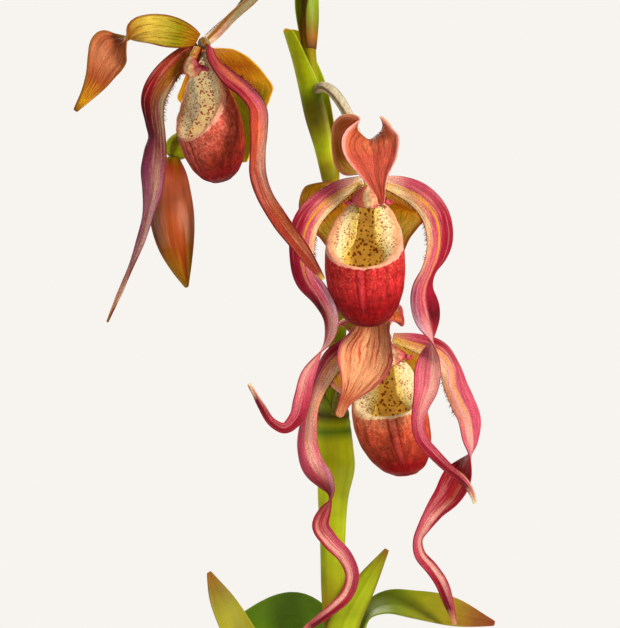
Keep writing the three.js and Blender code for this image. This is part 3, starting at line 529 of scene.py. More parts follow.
BRACT_PAINT = {
    # bract_lower: the forest and shade bands from 0.7 up are painted shade among its rings and at
    # its mouth
    "bract_lower": "0 bronze, 0.1 olive, 0.25 lime, 0.45 spring, 0.66 spring, 0.7 forest, "
                   "0.73 lime, 0.76 shade, 0.79 leaf, 0.83 shade",
    "bract_middle": "0.1 olive, 0.2 lime, 0.34 olive, 0.46 moss, 0.56 leaf, 0.66 lime, "
                    "0.97 lime, 1 gold",
    "bract_upper": "0 brown, 0.1 bronze, 0.2 moss, 0.35 leaf",
    "bract_top": "0 bronze, 0.2 olive, 1 moss",
}
BRACT_RINGS = {"bract_lower": collar_rings}
BLOTCHES = {"bract_middle": 0.55}
for node, (facing, rows) in BRACTS.items():
    rings = BRACT_RINGS.get(node)
    places = blade_places(rows, facing=facing, along=60 if rings else 40, across=24, detail=rings)
    piece = grid_piece(node.replace("bract", "sheath"), places, closed=True)
    paint = BRACT_PAINT[node]
    skin = green_finish(node + "_skin", paint, paint, ribs=22, deep=0.1,
                        blotch=BLOTCHES.get(node, 0.3), glow=0.17)
    soften(piece, BRACT_THICKNESS, [skin])
    stand_for(piece, node)

# %% [markdown]
# ## Leaves
# The leaves are leathery straps whose bases nest round the stem like quarter tubes. The midrib is
# a groove on the upper face and a keel below. It could be a crease, but a real one is soft, so the
# grid is dented along its middle before it gets its thickness. The four inner leaves have greens
# of their own, and three of their tips turn bronze or rusty, as they do with age.

# %% Leaves
LEAF_THICKNESS = 0.9
LEAVES = {
    "leaf_front": ({"facing": BACK}, [
        [0, -6.2, 112.4, 8.6, 0, -80], [0, -7.3, 140, 8.6, 0, -62], [-1, -10, 185, 10, 0, -35],
        [0, -12, 225, 8.5, 0, -30], [4, -12, 249, 7, 0, -30], [13, -12, 266, 5, 0, -25],
        [22.5, -12, 281.5, 1, 0, 0],
    ]),
    "leaf_behind": ({"facing": FRONT}, [
        [0, 6.2, 112.4, 8.6, 0, -80], [0, 6.7, 135, 8, 0, -72], [0.5, 7.4, 155, 5.6, 0, -50],
        [0, 9.5, 180, 6, 0, -35], [-2.5, 15, 210, 9.5, 0, -32], [-4, 19, 236, 10.5, 2, -27],
        [-15, 21.5, 249, 10.5, 8, -25], [-38, 21, 240, 10, 10, -25], [-62, 19, 217, 7, 10, -25],
        [-80, 17, 188, 1, 10, 0],
    ]),
    "leaf_left": ({"side": BACK}, [
        [-8.4, 0, 112.4, 12.6, 0, -86], [-9.2, 0, 135, 12.8, 0, -76], [-11.2, 0, 152, 13, -3, -62],
        [-16, 0.5, 175, 12.5, -30, -50], [-29, 2, 215, 10.5, -55, -40], [-43, 4, 245, 8, -60, -35],
        [-50, 5, 259, 5.5, -60, -25], [-54.5, 5, 270, 1, -60, 0],
    ]),
    "leaf_right": ({"side": FRONT}, [
        [8.4, 0, 112.4, 12.6, 0, -86], [9.4, 0, 135, 12.6, 0, -75], [13, 0, 180, 12, 0, -45],
        [12.5, 0, 225, 9.5, 0, -35], [12.5, 0, 243, 8, 5, -30], [15.5, -1, 253, 7.5, 20, -30],
        [22, -2.5, 256.5, 8, 32, -28], [34, -5, 255.8, 8.5, 40, -28],
        [51, -6, 253.2, 7.5, 50, -25], [69, -7, 249, 1, 50, 0],
    ]),
    "leaf_outer_left": ({"side": BACK}, [
        [-10.6, 0, 112.4, 13.3, 0, -72], [-12.5, 0, 130, 13.5, 0, -62],
        [-27, -3, 168, 13.5, 0, -40], [-60, -9, 204, 13, 5, -32], [-102, -16, 212, 12.5, 10, -30],
        [-142, -23, 190, 10.5, 10, -28], [-170, -28, 152, 1, 10, 0],
    ]),
    "leaf_outer_right": ({"side": FRONT}, [
        [10.6, 0, 112.4, 13.3, 0, -72], [13, 0, 130, 13.5, 0, -60], [33, 5, 166, 13.5, 0, -40],
        [70, 13, 194, 13, 0, -32], [112, 21, 193, 12.5, 0, -30], [148, 27, 165, 10.5, 0, -28],
        [168, 30, 130, 1, 0, 0],
    ]),
    "leaf_low_left": ({"side": BACK}, [
        [-12.8, 0, 112.4, 13.8, 0, -62], [-13.6, -0.2, 119, 13.8, 0, -57],
        [-20, -2.5, 130, 14, 0, -50], [-42, -14, 151, 13.5, 0, -38], [-78, -36, 161, 13, 0, -30],
        [-112, -58, 146, 10.5, 0, -28], [-132, -72, 116, 1, 0, 0],
    ]),
    "leaf_low_right": ({"side": FRONT}, [
        [12.8, 0, 112.4, 13.8, 0, -62], [13.6, -0.2, 119, 13.8, 0, -57],
        [21, -2.5, 129, 14, 0, -50], [46, -14, 147, 13.5, 0, -36], [80, -34, 153, 12.5, 0, -30],
        [110, -54, 138, 10, 0, -28], [129, -68, 111, 1, 0, 0],
    ]),
}
LEAF_PAINT = {
    "leaf_front": "0 leaf, 0.6 lime, 0.92 lime, 0.97 olive, 1 bronze",
    "leaf_behind": "0 leaf, 0.4 forest, 0.7 forest, 1 leaf",
    "leaf_left": "0 leaf, 0.6 olive, 0.9 olive, 1 bronze",
    "leaf_right": "0.78 leaf, 0.88 olive, 0.95 bronze, 1 rust",
}


def midrib_groove(u, v):
    return -0.45 * np.exp(-((u / 0.07) ** 2)) * np.ones_like(v) + 0.12 * np.sin(9 * v + 2 * u)


for node, (lay, rows) in LEAVES.items():
    paint = LEAF_PAINT.get(node, "0.5 leaf, 0.9 lime, 1 moss")
    places = blade_places(rows, along=60, across=16, detail=midrib_groove, **lay)
    piece = grid_piece(node.replace("leaf", "strap"), places)
    margin = paint.replace("lime", "moss")
    skin = green_finish(node + "_skin", paint, margin, ribs=60, deep=0.06)
    soften(piece, LEAF_THICKNESS, [skin])
    stand_for(piece, node)

# %% [markdown]
# ## Flower stalks and the bud
# An orchid's flower stalk is its ovary, so it is fluted: six low ribs wind along it. Ribs could be
# laid on one by one, but a wavy radius makes them all at once. The bud is three sepals still
# closed over one another, so one tube with three shallow grooves for seams is enough, and its
# paint runs in long soft streaks from a green foot to its tip. A painted highlight lightens its
# middle, and painted shade darkens its sides.

# %% Flower stalks and the bud
CENTRES = {1: (-55, -28, 496), 2: (14.5, -38, 438), 3: (21.5, -14, 372)}
SIZES = {1: 0.94, 2: 1.0, 3: 0.96}
HUB_RADIUS = 3
STALKS = {
    "ovary_1": [
        [-15.1, -1.8, 519, 1.7], [-17.5, -5, 524.5, 2], [-22, -9, 526.5, 2.1],
        [-28.5, -14.5, 522.5, 2.1], [-36, -19.5, 514.5, 2.1], [-43.5, -23.5, 507.5, 2.2],
        [-50, -26, 500.5, 2.3], [-55, -28, 496, 2.2],
    ],
    "ovary_2": [
        [-8, -4.5, 477.6, 1.6], [-6.8, -7.5, 478.9, 2], [-4.4, -11, 479.3, 2.2],
        [-1.2, -15, 477, 2.3], [3.5, -19, 470.5, 2.3], [8.5, -22, 459, 2.3],
        [11.5, -25.5, 448.5, 2.4], [13.5, -31, 441, 2.4], [14.5, -38, 438, 2.2],
    ],
    "ovary_3": [
        [-0.1, -5.7, 338.5, 1.7], [2.5, -8, 348, 2.1], [6, -6.5, 357, 2.2], [11, -3, 364.5, 2.3],
        [16, -2, 369.5, 2.4], [20, -6.5, 371.5, 2.4], [21.5, -14, 372, 2.2],
    ],
    "ovary_bud": [
        [-15.8, 5.1, 541.5, 1.5], [-19.5, 8.5, 544.5, 1.8], [-26, 11, 539.5, 2],
        [-35, 12, 525, 2.1], [-42, 12.8, 514.5, 2.1], [-50, 13.2, 507.5, 2.1],
        [-57, 13.5, 500.5, 2.1], [-61, 13.5, 490, 2.1], [-61.8, 13.2, 475, 2.2],
        [-62, 12, 464, 2.8], [-64, 11, 459.5, 4.6], [-66.8, 10.3, 456.2, 5.9],
        [-69, 9.6, 453.6, 6], [-70.2, 9, 451.4, 4.4], [-70.6, 8.8, 450.4, 2.8],
    ],
}
STALK_PAINT = {  # paint along the stalk, and of its stripes
    "ovary_1": ("0 moss, 0.2 taupe, 0.7 taupe, 0.88 dusty, 1 cream", "bronze"),
    "ovary_2": ("0 moss, 0.15 sand, 0.6 sand, 0.9 taupe, 1 cream", "taupe"),
    "ovary_3": ("0 moss, 0.5 taupe, 1 cream", "moss"),
    "ovary_bud": ("0 taupe, 0.6 moss, 0.82 leaf, 0.9 spring, 1 lime", "moss"),
}
BUD = [
    [-71, 8.5, 450.4, 3.4], [-71.2, 8.2, 444.5, 6.4], [-71.4, 7.5, 434, 9], [-70.8, 6.8, 424, 9.7],
    [-69, 5.8, 412, 8], [-66.5, 4.6, 402, 4.6], [-64, 4, 393.5, 0.8],
]
STRIPES = 18.85  # three stripes round a stalk, in radians
# the bud's painted highlight runs down its middle here, with painted shade at its sides
BUD_PAINTED_HIGHLIGHT = -0.0695  # where across the plant the bud's paint is lightest, in metres


def stalk_finish(name, along, stripe):
    """A fluted stalk with short velvet: every second flute shows the stripe's paint."""
    f = Finish(name, 0.55, Sheen_Weight=0.25, Sheen_Roughness=0.4)
    u, v = f.uv()
    wave = f.math("SINE", f.times(f.plus(u, f.times(v, 0.3)), STRIPES))
    body = f.mix(f.ease(wave, 0.3, 0.9), f.ramp(v, along), stripe)
    nap = f.noise(f.spot(), 900.0, 2.0)
    body = f.shade(body, nap, 0.65, 1.35)
    f.relief(nap, 0.12)
    return f.done(body)


def flutes(turn, v):
    return 1 + 0.07 * np.cos(6 * turn + 4 * v)


def bud_seams(turn, v):
    seams = sum(np.exp(-(((turn - at + math.pi) % (2 * math.pi) - math.pi) / 0.16) ** 2)
                for at in (0.4, 2.6, 4.4))
    return 1 + 0.03 * np.cos(3 * turn) - 0.07 * seams * np.sin(math.pi * v) ** 0.5


def bud_finish():
    f = Finish("bud_skin", 0.45, Subsurface_Weight=0.15, Subsurface_Scale=0.003)
    # painted highlight along the bud's middle and painted shade at its sides, by place across the
    # plant
    front = f.ease(f.away(f.reach("X"), BUD_PAINTED_HIGHLIGHT), 0.0115, -0.001)
    u, v = f.uv()
    body = f.ramp(v, "0 lime, 0.05 bronze, 0.11 coral, 0.2 salmon, 0.4 copper, 0.75 rust, "
                     "0.92 rust, 1 bronze")
    pale = f.ramp(v, "0 lime, 0.1 amber, 0.25 salmon, 0.5 dusty, 0.7 bronze, 1 olive")
    streak = f.streaks(u, v, 9, 1.1, 3.0)
    body = f.mix(f.ease(streak, 0.4, 0.66), body, pale)
    fine = f.streaks(u, v, 60, 5, 3.0)
    body = f.shade(body, fine, 0.85, 1.15)
    body = f.shade(body, front, 0.55, 1.45)
    f.relief(fine, 0.2)
    return f.done(body)


for node, rows in STALKS.items():
    piece = grid_piece(node.replace("ovary", "stalk"), tube_places(rows, 20, 54, flutes), True)
    if node != "ovary_bud":
        number = int(node[-1])
        bpy.ops.mesh.primitive_uv_sphere_add(
            segments=24, ring_count=16, radius=HUB_RADIUS * SIZES[number] * MM,
            location=Vector(CENTRES[number]) * MM,
        )
        piece = join_pieces([piece, bpy.context.object])
    soften(piece, finishes=[stalk_finish(node + "_skin", *STALK_PAINT[node])])
    stand_for(piece, node)

bud = grid_piece("closed_bud", tube_places(BUD, 48, 44, bud_seams), closed=True)
soften(bud, finishes=[bud_finish()])
stand_for(bud, "bud")

# %% [markdown]
# ## Petals
# The petals are long ribbons that hang and turn over on themselves, so both faces show. A ribbon
# along a curve would be quicker, but its width, twist and cupping are wanted row by row. Each run
# is given from its flower's centre, as rows of place, half width, roll and curl. The roll is what
# turns a ribbon over: in the two older flowers it reaches half a turn or more near the tips. A
# curl of some 30 degrees makes the ribbon a shallow channel, as it is in the plant.

# %% Petal runs
PETALS = {
    "petal_left_1": [
        [-2.6, 2.2, -0.8, 2, 0, 0], [-9.5, 3.1, -5.5, 4.2, 0, 15], [-17.3, 0.4, -14.5, 5.6, 5, 25],
        [-22, -3, -24.5, 5.8, 15, 35], [-21.5, -5, -33, 5.4, 35, 40],
        [-20.5, -6, -39, 5.4, 45, 35], [-21, -7, -45.5, 5.8, 25, 35], [-21.5, -8, -53, 6, 15, 35],
        [-21.5, -9, -61, 5.2, 25, 35], [-23, -10, -70, 3.8, 35, 30],
        [-26.5, -10, -84.5, 2.2, 40, 20], [-32, -10, -98.5, 1.4, 40, 10],
        [-40, -10, -117.5, 0.6, 40, 0],
    ],
    "petal_right_1": [
        [2.4, -2.8, -1.4, 2, 115, 0], [4, -9, -8, 3.8, 125, 10], [10.4, -15.5, -16, 4.8, 132, 15],
        [17.8, -19, -23, 5, 136, 20], [22.5, -21, -29.5, 4.8, 142, 25],
        [23, -23, -38.5, 4.4, 146, 30], [22.5, -24, -47.5, 4, 150, 30],
        [23, -25, -57, 3.9, 153, 30], [26, -26, -66.5, 3.9, 160, 30],
        [32, -27, -75.5, 3.8, 165, 30], [39, -29, -85, 3.4, 175, 25], [45, -31, -93, 2.4, 180, 15],
        [50, -33, -100, 0.8, 180, 0],
    ],
    "petal_left_2": [
        [-3.4, -1, -0.5, 2, 0, 0], [-11.5, -3, -4, 4.2, 0, 15], [-20, -6, -10, 5.4, 0, 25],
        [-27, -10, -19.5, 5.8, 0, 30], [-29, -12, -31.5, 5.8, 15, 40], [-27, -13, -42, 6, 30, 45],
        [-21.5, -13, -50, 6, 40, 45], [-17.5, -13, -58.5, 5.6, 55, 35],
        [-18, -13, -66.5, 4.8, 75, 20], [-22, -13, -73.5, 4.2, 100, 10],
        [-26.5, -13, -81.5, 4.2, 135, 20], [-28.5, -13, -90.5, 4, 160, 25],
        [-30.5, -14, -98.5, 3.2, 180, 20], [-35.5, -15, -103, 2.4, 195, 15],
        [-40.5, -16, -100.5, 1.9, 200, 10], [-45, -17, -93.5, 1.4, 200, 0],
        [-50, -18, -84.5, 0.7, 200, 0],
    ],
    "petal_right_2": [
        [3.2, -1, -0.5, 2, 0, 0], [13, -3, -3, 4.4, 0, 15], [21.5, -7, -8, 5.8, -5, 25],
        [27.5, -10, -15.5, 6.4, -10, 35], [29, -12, -25.5, 6.2, -20, 40],
        [27.5, -13, -33, 5.6, -35, 45], [25, -13, -39, 5.4, -50, 45], [22.5, -13, -46, 6, -30, 40],
        [23, -12, -53.5, 6.6, -15, 40], [24.5, -12, -60, 6.2, -40, 30],
        [25.5, -12, -67, 5, -85, 15], [24.5, -12, -74, 5.2, -140, 20],
        [23.5, -12, -80.5, 5.8, -170, 30], [22.5, -12, -87, 5.4, -190, 35],
        [20.5, -12, -93, 4.2, -200, 35], [19, -12, -100, 3.2, -200, 30],
        [20.5, -12, -107, 2.8, -195, 20], [26, -12, -113.5, 2.4, -190, 10],
        [32.5, -12, -120, 2.1, -190, 10], [38.5, -12, -125, 1.8, -190, 0],
        [41.5, -12, -129.5, 1.3, -190, 0], [43, -12, -134, 0.7, -190, 0],
    ],
    "petal_left_3": [
        [-3.3, -1, 0, 2, 0, 0], [-13, -4, -3, 4.2, 5, 15], [-21.5, -7, -8.5, 5.2, 15, 25],
        [-28, -8, -18, 5.2, 35, 35], [-32, -8, -28, 5, 55, 40], [-33.5, -6, -37, 5.2, 40, 40],
        [-34, -4, -46, 5.6, 25, 45], [-31.5, -4, -54.5, 6, 20, 50],
        [-26.5, -4, -61.5, 5.6, 40, 40], [-23.5, -4, -67.5, 4.6, 80, 20],
        [-26, -4, -73.5, 4.2, 125, 15], [-28, -4, -79.5, 4.2, 155, 25],
        [-23.5, -5, -86.5, 3.6, 175, 25], [-17, -5, -93, 3.3, 185, 20],
        [-14, -6, -100.5, 3.1, 185, 20], [-16.5, -6, -109, 2.8, 185, 15],
        [-22.5, -7, -115, 2.3, 190, 10], [-28.5, -8, -119.5, 1.8, 190, 10],
        [-33.5, -9, -123, 1.3, 190, 0], [-37.5, -10, -126.5, 0.7, 190, 0],
    ],
    "petal_right_3": [
        [3.2, -1, 0, 2, 0, 0], [14, -2, -2.5, 4.2, -5, 15], [23.5, -4, -6, 5.4, -20, 30],
        [28.5, -5, -13, 5.6, -30, 45], [30, -5, -20.5, 5.6, -10, 40], [33, -5, -27.5, 5.6, 0, 35],
        [36, -5, -34, 5.4, -10, 35], [37, -5, -41.5, 5.4, -40, 35], [37, -5, -48, 5.8, -75, 20],
        [34, -5, -55, 6.6, -120, 20], [30.5, -5, -60.5, 7, -155, 30],
        [26.5, -5, -67, 6.2, -175, 35], [21, -5, -73, 4.6, -190, 35],
        [16.5, -5, -79.5, 3.6, -205, 25], [13.5, -5, -86, 3, -225, 20],
        [14.5, -5, -92, 2.8, -215, 20], [19.5, -5, -98, 2.9, -195, 25],
        [23.5, -5, -104, 2.9, -185, 30], [26.5, -5, -111.5, 2.4, -180, 20],
        [28.5, -5, -117.5, 1.5, -180, 10], [29.5, -5, -122, 0.7, -180, 0],
    ],
}
print(f"{len(PETALS)} petal runs, of {sum(len(rows) for rows in PETALS.values())} rows in all")

# %% [markdown]
# ### Petal paint
# The youngest flower is browner, and its petals run through plum and mauve to a dusty tan. The
# older two start cream or butter yellow and are pinker, with lilac on the inner margin. The under
# face is redder and velvety. All this could be painted on an image, but bands that are blended by
# a noise stay sharp at any size. Each face of a flower's petals has three of them: the middle, the
# outer margin and the inner margin. A tinted midline and hem, streaks and a fine nap are laid over
# them.

# %% Petal paint
PETAL_PAINT = {  # of each flower's two faces, as bands of the middle, outer and inner margin
    1: {
        "upper": (
            "0.15 bronze, 0.27 russet, 0.4 russet, 0.52 dusty",
            "0 rust, 0.1 brick, 0.2 blood, 0.3 wine, 0.42 plum, 0.55 mauve, 0.7 mauve, "
            "0.9 dusty, 1 gold",
            "0 maroon, 0.12 bronze, 0.22 taupe, 0.34 taupe, 0.42 russet, 0.55 mauve, "
            "0.65 lilac, 0.85 dusty, 1 gold",
        ),
        "under": (
            "0 rose, 0.1 terra, 0.2 salmon, 0.3 rose, 0.42 salmon, 0.55 dusty, 0.7 copper, "
            "0.85 copper, 0.97 brick, 1 butter",
            "0.25 crimson, 0.4 coral, 0.6 brick, 0.97 brick, 1 butter",
            "0 crimson, 0.3 plum, 0.45 dusty, 0.75 brick, 0.97 rust, 1 butter",
        ),
    },
    2: {
        "upper": (
            "0 butter, 0.05 cream, 0.12 peach, 0.2 rose, 0.44 rose, 0.52 blush, 0.66 blush, "
            "0.78 rose, 0.9 crimson, 1 cream",
            "0 cream, 0.04 blush, 0.08 rose, 0.2 crimson, 0.4 crimson, 0.46 wine, 0.5 crimson, "
            "0.56 rose, 0.66 blush, 0.76 plum, 0.95 crimson, 1 cream",
            "0 butter, 0.1 cream, 0.3 peach, 0.4 mauve, 0.48 lilac, 0.58 blush, 0.68 blush, "
            "0.8 mauve, 1 cream",
        ),
        "under": (
            "0 salmon, 0.3 rose, 0.42 blush, 0.66 blush, 0.78 rose, 0.9 crimson, 0.98 rose, "
            "1 cream",
            "0 rose, 0.3 crimson, 0.44 wine, 0.52 rose, 0.66 rose, 0.8 crimson, 0.95 wine, "
            "1 cream",
            "0 peach, 0.3 rose, 0.44 crimson, 0.5 rose, 0.6 blush, 0.75 rose, 0.9 crimson, "
            "1 cream",
        ),
    },
    3: {
        "upper": (
            "0 butter, 0.08 peach, 0.2 blush, 0.42 blush, 0.52 crimson, 0.6 brick, 0.7 blush, "
            "0.8 blush, 0.88 plum, 0.96 wine, 1 peach",
            "0 peach, 0.05 rose, 0.12 crimson, 0.26 rose, 0.42 rose, 0.52 blood, 0.62 crimson, "
            "0.74 rose, 0.88 crimson, 0.96 wine, 1 peach",
            "0 butter, 0.15 cream, 0.25 peach, 0.4 rose, 0.55 lilac, 0.7 plum, 0.9 rose, 1 cream",
        ),
        "under": (
            "0 salmon, 0.3 blush, 0.45 crimson, 0.58 brick, 0.66 blush, 0.86 blush, "
            "0.95 crimson, 1 peach",
            "0.3 rose, 0.5 blood, 0.6 crimson, 0.7 rose, 0.85 crimson, 0.95 wine, 1 peach",
            "0 peach, 0.3 rose, 0.48 blood, 0.6 crimson, 0.85 crimson, 0.97 rose, 1 cream",
        ),
    },
}
MIDLINE = {1: "bronze", 2: "gold", 3: "gold"}
HEM = {1: (0.4, "wine"), 2: (0.455, "crimson"), 3: (0.455, "crimson")}  # where it starts, paint


def petal_finish(name, number, face, mirrored):
    velvet = face == "under"
    f = Finish(name, 0.5, Subsurface_Weight=0.1, Subsurface_Scale=0.001,
               Sheen_Weight=0.06 if velvet else 0.02, Sheen_Roughness=0.35)
    u, v = f.uv()
    if mirrored:
        u = f.minus(1.0, u)
    streak = f.streaks(u, v, 15, 4, 4.0, 0.4)
    wander = f.streaks(u, v, 2, 9, 3.0)
    sway = f.minus(f.plus(streak, wander), 1.0)
    drift = f.plus(u, f.times(sway, 0.3))
    middle, outer, inner = [f.ramp(v, band) for band in PETAL_PAINT[number][face]]
    body = f.mix(f.ease(drift, 0.36, 0.64), middle, outer)
    body = f.mix(f.ease(drift, 0.3, 0.08), body, inner)
    body = f.mix(f.times(f.ease(streak, 0.5, 0.66), 0.5), body, outer)
    body = f.mix(f.times(f.ease(streak, 0.48, 0.34), 0.25), body, "blush")
    if not velvet:
        line = f.times(f.ease(f.away(u, 0.43), 0.06, 0.015), f.ease(v, 0.5, 0.25))
        body = f.mix(f.times(line, 0.8), body, MIDLINE[number])
    hem, paint = HEM[number]
    body = f.mix(f.times(f.ease(f.away(u, 0.5), hem, 0.495), 0.8), body, paint)
    fine = f.streaks(u, v, 60, 26, 3.0, 0.4)
    body = f.shade(body, fine, 0.5, 1.5)
    nap = f.noise(f.spot(), 2400.0, 2.0)
    body = f.shade(body, nap, 0.6, 1.4)
    f.relief(f.plus(fine, f.times(nap, 0.5)), 0.35)
    return f.done(body)


print(f"the petals of {len(PETAL_PAINT)} flowers have their bands of paint")

# %% [markdown]
# ### Petals and their hairs
# The margin of each ribbon waves a little and its midrib is a shallow channel. Near the flower the
# inner margin carries short dark hairs. A hair system would grow them, but isn't a plain mesh. So
# one hair is modelled as a slim three-sided cone, and copies of it are gathered into one mesh,
# which keeps hundreds of them light. They stand at seeded places along the margin, between the
# grid's rows, so that they don't line up.

# %% Petals and their hairs
PETAL_THICKNESS = 0.7
HAIRS = 110  # on each petal
HAIRY_ROWS = (4, 39)  # of the petal's grid, from its foot
HAIR_LENGTHS, HAIR_GIRTH = (1.0, 2.1), 0.13
HAIR_SPREAD = 0.25  # how far a hair's direction strays
chance = np.random.default_rng(11)


def at_flower(number, rows):
    """Rows given from a flower's centre, in the plant's frame."""
    centre = np.array(CENTRES[number], float)
    return [[*(centre + row[:3]), *row[3:]] for row in rows]


def margin_wave(phase):
    def wave(u, v):
        ruffle = 0.45 * np.abs(u) ** 3 * np.sin(34 * v + phase + 1.3 * np.sign(u))
        return ruffle - 0.35 * np.exp(-((u / 0.16) ** 2)) * np.sin(math.pi * v)
    return wave


def gather(name, shape, spots, frames, skin):
    """Copies of a shape, at spots in mm, turned and sized by 3 x 3 frames, as one mesh. Each
    copy carries a tint from 0 to 1."""
    tints = chance.uniform(0, 1, len(spots))
    points = np.array([v.co for v in shape.data.vertices])
    faces = [tuple(p.vertices) for p in shape.data.polygons]
    bpy.data.objects.remove(shape)
    mesh = bpy.data.meshes.new(name)
    moved = [spot * MM + points @ turn.T for spot, turn in zip(spots, frames)]
    count = len(points)
    shifted = [tuple(i + k * count for i in face) for k in range(len(moved)) for face in faces]
    mesh.from_pydata(np.concatenate(moved).tolist(), [], shifted)
    tint = mesh.attributes.new("tint", "FLOAT", "POINT")
    tint.data.foreach_set("value", np.repeat(np.array(tints, np.float32), count))
    piece = bpy.data.objects.new(name, mesh)
    bpy.context.scene.collection.objects.link(piece)
    piece.data.materials.append(skin)
    return piece


def pointing(direction, length, girth):
    """A frame that stands a unit cone along a direction."""
    z = unit(np.array(direction, float))
    x = unit(np.cross(z, (0.3, 0.9, 0.31)))
    return np.stack([x * girth, np.cross(z, x) * girth, z * length], axis=1) * MM


def hair_shape():
    bpy.ops.mesh.primitive_cone_add(
        vertices=3, radius1=1, radius2=0, depth=1, location=(0, 0, 0.5)
    )
    bpy.ops.object.transform_apply(location=True)
    return bpy.context.object


def hair_finish():
    f = Finish("hair", 0.6)
    return f.done(f.ramp(f.tint(), "0 maroon, 1 crimson"))


hair_skin = hair_finish()
petal_skins = {
    (number, face, hand): petal_finish(f"petal_{face}_{hand}_{number}", number, face,
                                       hand == "right")
    for number in CENTRES for face in ("upper", "under") for hand in ("left", "right")
}
for node, rows in PETALS.items():
    hand, number = node.split("_")[1], int(node[-1])
    wave = margin_wave(chance.uniform(0, 6))
    places = blade_places(at_flower(number, rows), facing=FRONT, along=120, across=14,
                          detail=wave)
    piece = grid_piece(f"{hand}_petal_{number}", places)
    skins = [petal_skins[number, face, hand] for face in ("upper", "under")]
    soften(piece, PETAL_THICKNESS, skins)
    stand_for(piece, node)
    edge, inside = (0, 1) if hand == "left" else (-1, -2)
    spots, frames = [], []
    for i in np.sort(chance.uniform(*HAIRY_ROWS, HAIRS)):
        row, share = int(i), i % 1
        at = (1 - share) * places[row, edge] + share * places[row + 1, edge]
        out = unit(at - places[row, inside]) + (0, -0.5, 0) + chance.normal(0, HAIR_SPREAD, 3)
        spots.append(at)
        frames.append(pointing(out, chance.uniform(*HAIR_LENGTHS), HAIR_GIRTH))
    hairs = gather(f"hairs_{hand}_{number}", hair_shape(), spots, frames, hair_skin)
    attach(hairs, "root")

# %% [markdown]
# ## Dorsal sepals
# The upper sepal arches over the pouch like a hood and hangs in front of it, so the outer face is
# what shows there. Where it turns over, its sides roll back into two horns. These could be
# sculpted from a bowl, but a strong curl in the middle of the blade gives them with the same
# helper as the petals. A flower's hook number says how far the bend keeps to the margins. Bold
# veins wander along it, painted and raised together.

# %% Dorsal sepals
SEPAL_THICKNESS = 0.7
TURNS = {1: -50, 2: -6, 3: 3}  # degrees that each flower is turned about the upright
HORN_HOOKS = {1: 1.0, 2: 1.0, 3: 1.7}
DORSALS = {
    1: [
        [-2.6, -2.6, 1.2, 2.6, 60, 0], [-5.7, -6, 1.9, 4.7, 75, 10],
        [-12.8, -13, 3.1, 6.8, 80, 25], [-20.7, -20, 3.1, 6.8, 70, 45],
        [-26.9, -25, 0.9, 7, 45, 60], [-30.8, -27, -1.8, 7.5, 10, 65],
        [-36.3, -30, -5.2, 9, -45, 36], [-39.9, -31, -11.2, 8.4, -80, 26],
        [-43.1, -32, -18.7, 6.1, -95, 22], [-47.2, -32, -25.6, 3.2, -100, 20],
        [-51.2, -32, -31.3, 0.9, -100, 0],
    ],
    2: [
        [0, -0.5, 3.7, 2.6, 0, 0], [-2.5, 1.2, 8, 12, 0, 25], [-3.5, 0.5, 12.5, 15, 0, 50],
        [-2.5, -4.5, 15.6, 16, 0, 80], [0, -10.5, 16, 12.5, 0, 130], [0, -16, 12, 13.8, 0, 58],
        [1, -19.5, 6.5, 11, 0, 35], [1.8, -21, 0.5, 6.2, 0, 25], [3, -21, -4.5, 3.2, 0, 20],
        [4, -20, -8, 1.8, 0, 10], [4, -19, -11, 1.2, 0, 0],
    ],
    3: [
        [0, -0.5, 3.7, 2.6, 0, 0], [-2.5, 1, 6.5, 11, 0, 0], [-5.5, -2.5, 9.6, 14.6, 0, -30],
        [-6.6, -8, 10.4, 15.6, 0, -62], [-6.2, -12.5, 8.6, 9.5, 0, -40],
        [-6, -15.5, 4.5, 7.6, 0, 10], [-7, -17.5, -0.5, 9.4, 0, 20], [-8.6, -18.5, -6, 12, 0, 30],
        [-10, -18.6, -11.5, 11.6, 0, 32], [-12, -18.2, -17, 8.6, 0, 30],
        [-14.5, -17.2, -22, 5.2, 0, 25], [-17, -16, -26.5, 2.8, 0, 15],
        [-19, -15.3, -30.8, 2, 0, 5], [-19.8, -15, -32.6, 1.7, 0, 0],
        [-20.2, -15, -33.3, 0.7, 0, 0],
    ],
}
DORSAL_PAINT = {  # paint along each face, of its veins and of its margin, and the veins' share
    (1, "upper"): ("0 amber, 0.15 olive, 0.35 straw, 0.5 bronze, 0.7 copper, 1 olive",
                   "rust", "rust", 0.5),
    (1, "under"): ("0 amber, 0.08 gold, 0.25 butter, 0.46 straw, 0.54 copper, 0.66 clay, "
                   "0.8 copper, 0.93 gold, 1 bronze",
                   "rust", "bronze", 0.55),
    (2, "upper"): ("0 butter, 0.15 bronze, 0.3 copper, 0.5 coral", "scarlet", "peach", 0.6),
    (2, "under"): ("0 amber, 0.2 copper, 0.4 copper, 0.52 salmon, 0.62 terra, 0.85 terra, "
                   "1 coral", "brick", "blush", 0.6),
    (3, "upper"): ("0 butter, 0.2 olive, 0.4 bronze, 1 copper", "rust", "peach", 0.6),
    (3, "under"): ("0 amber, 0.3 salmon, 0.42 peach, 0.75 peach, 0.88 salmon, 1 peach",
                   "coral", "rose", 0.9),
}


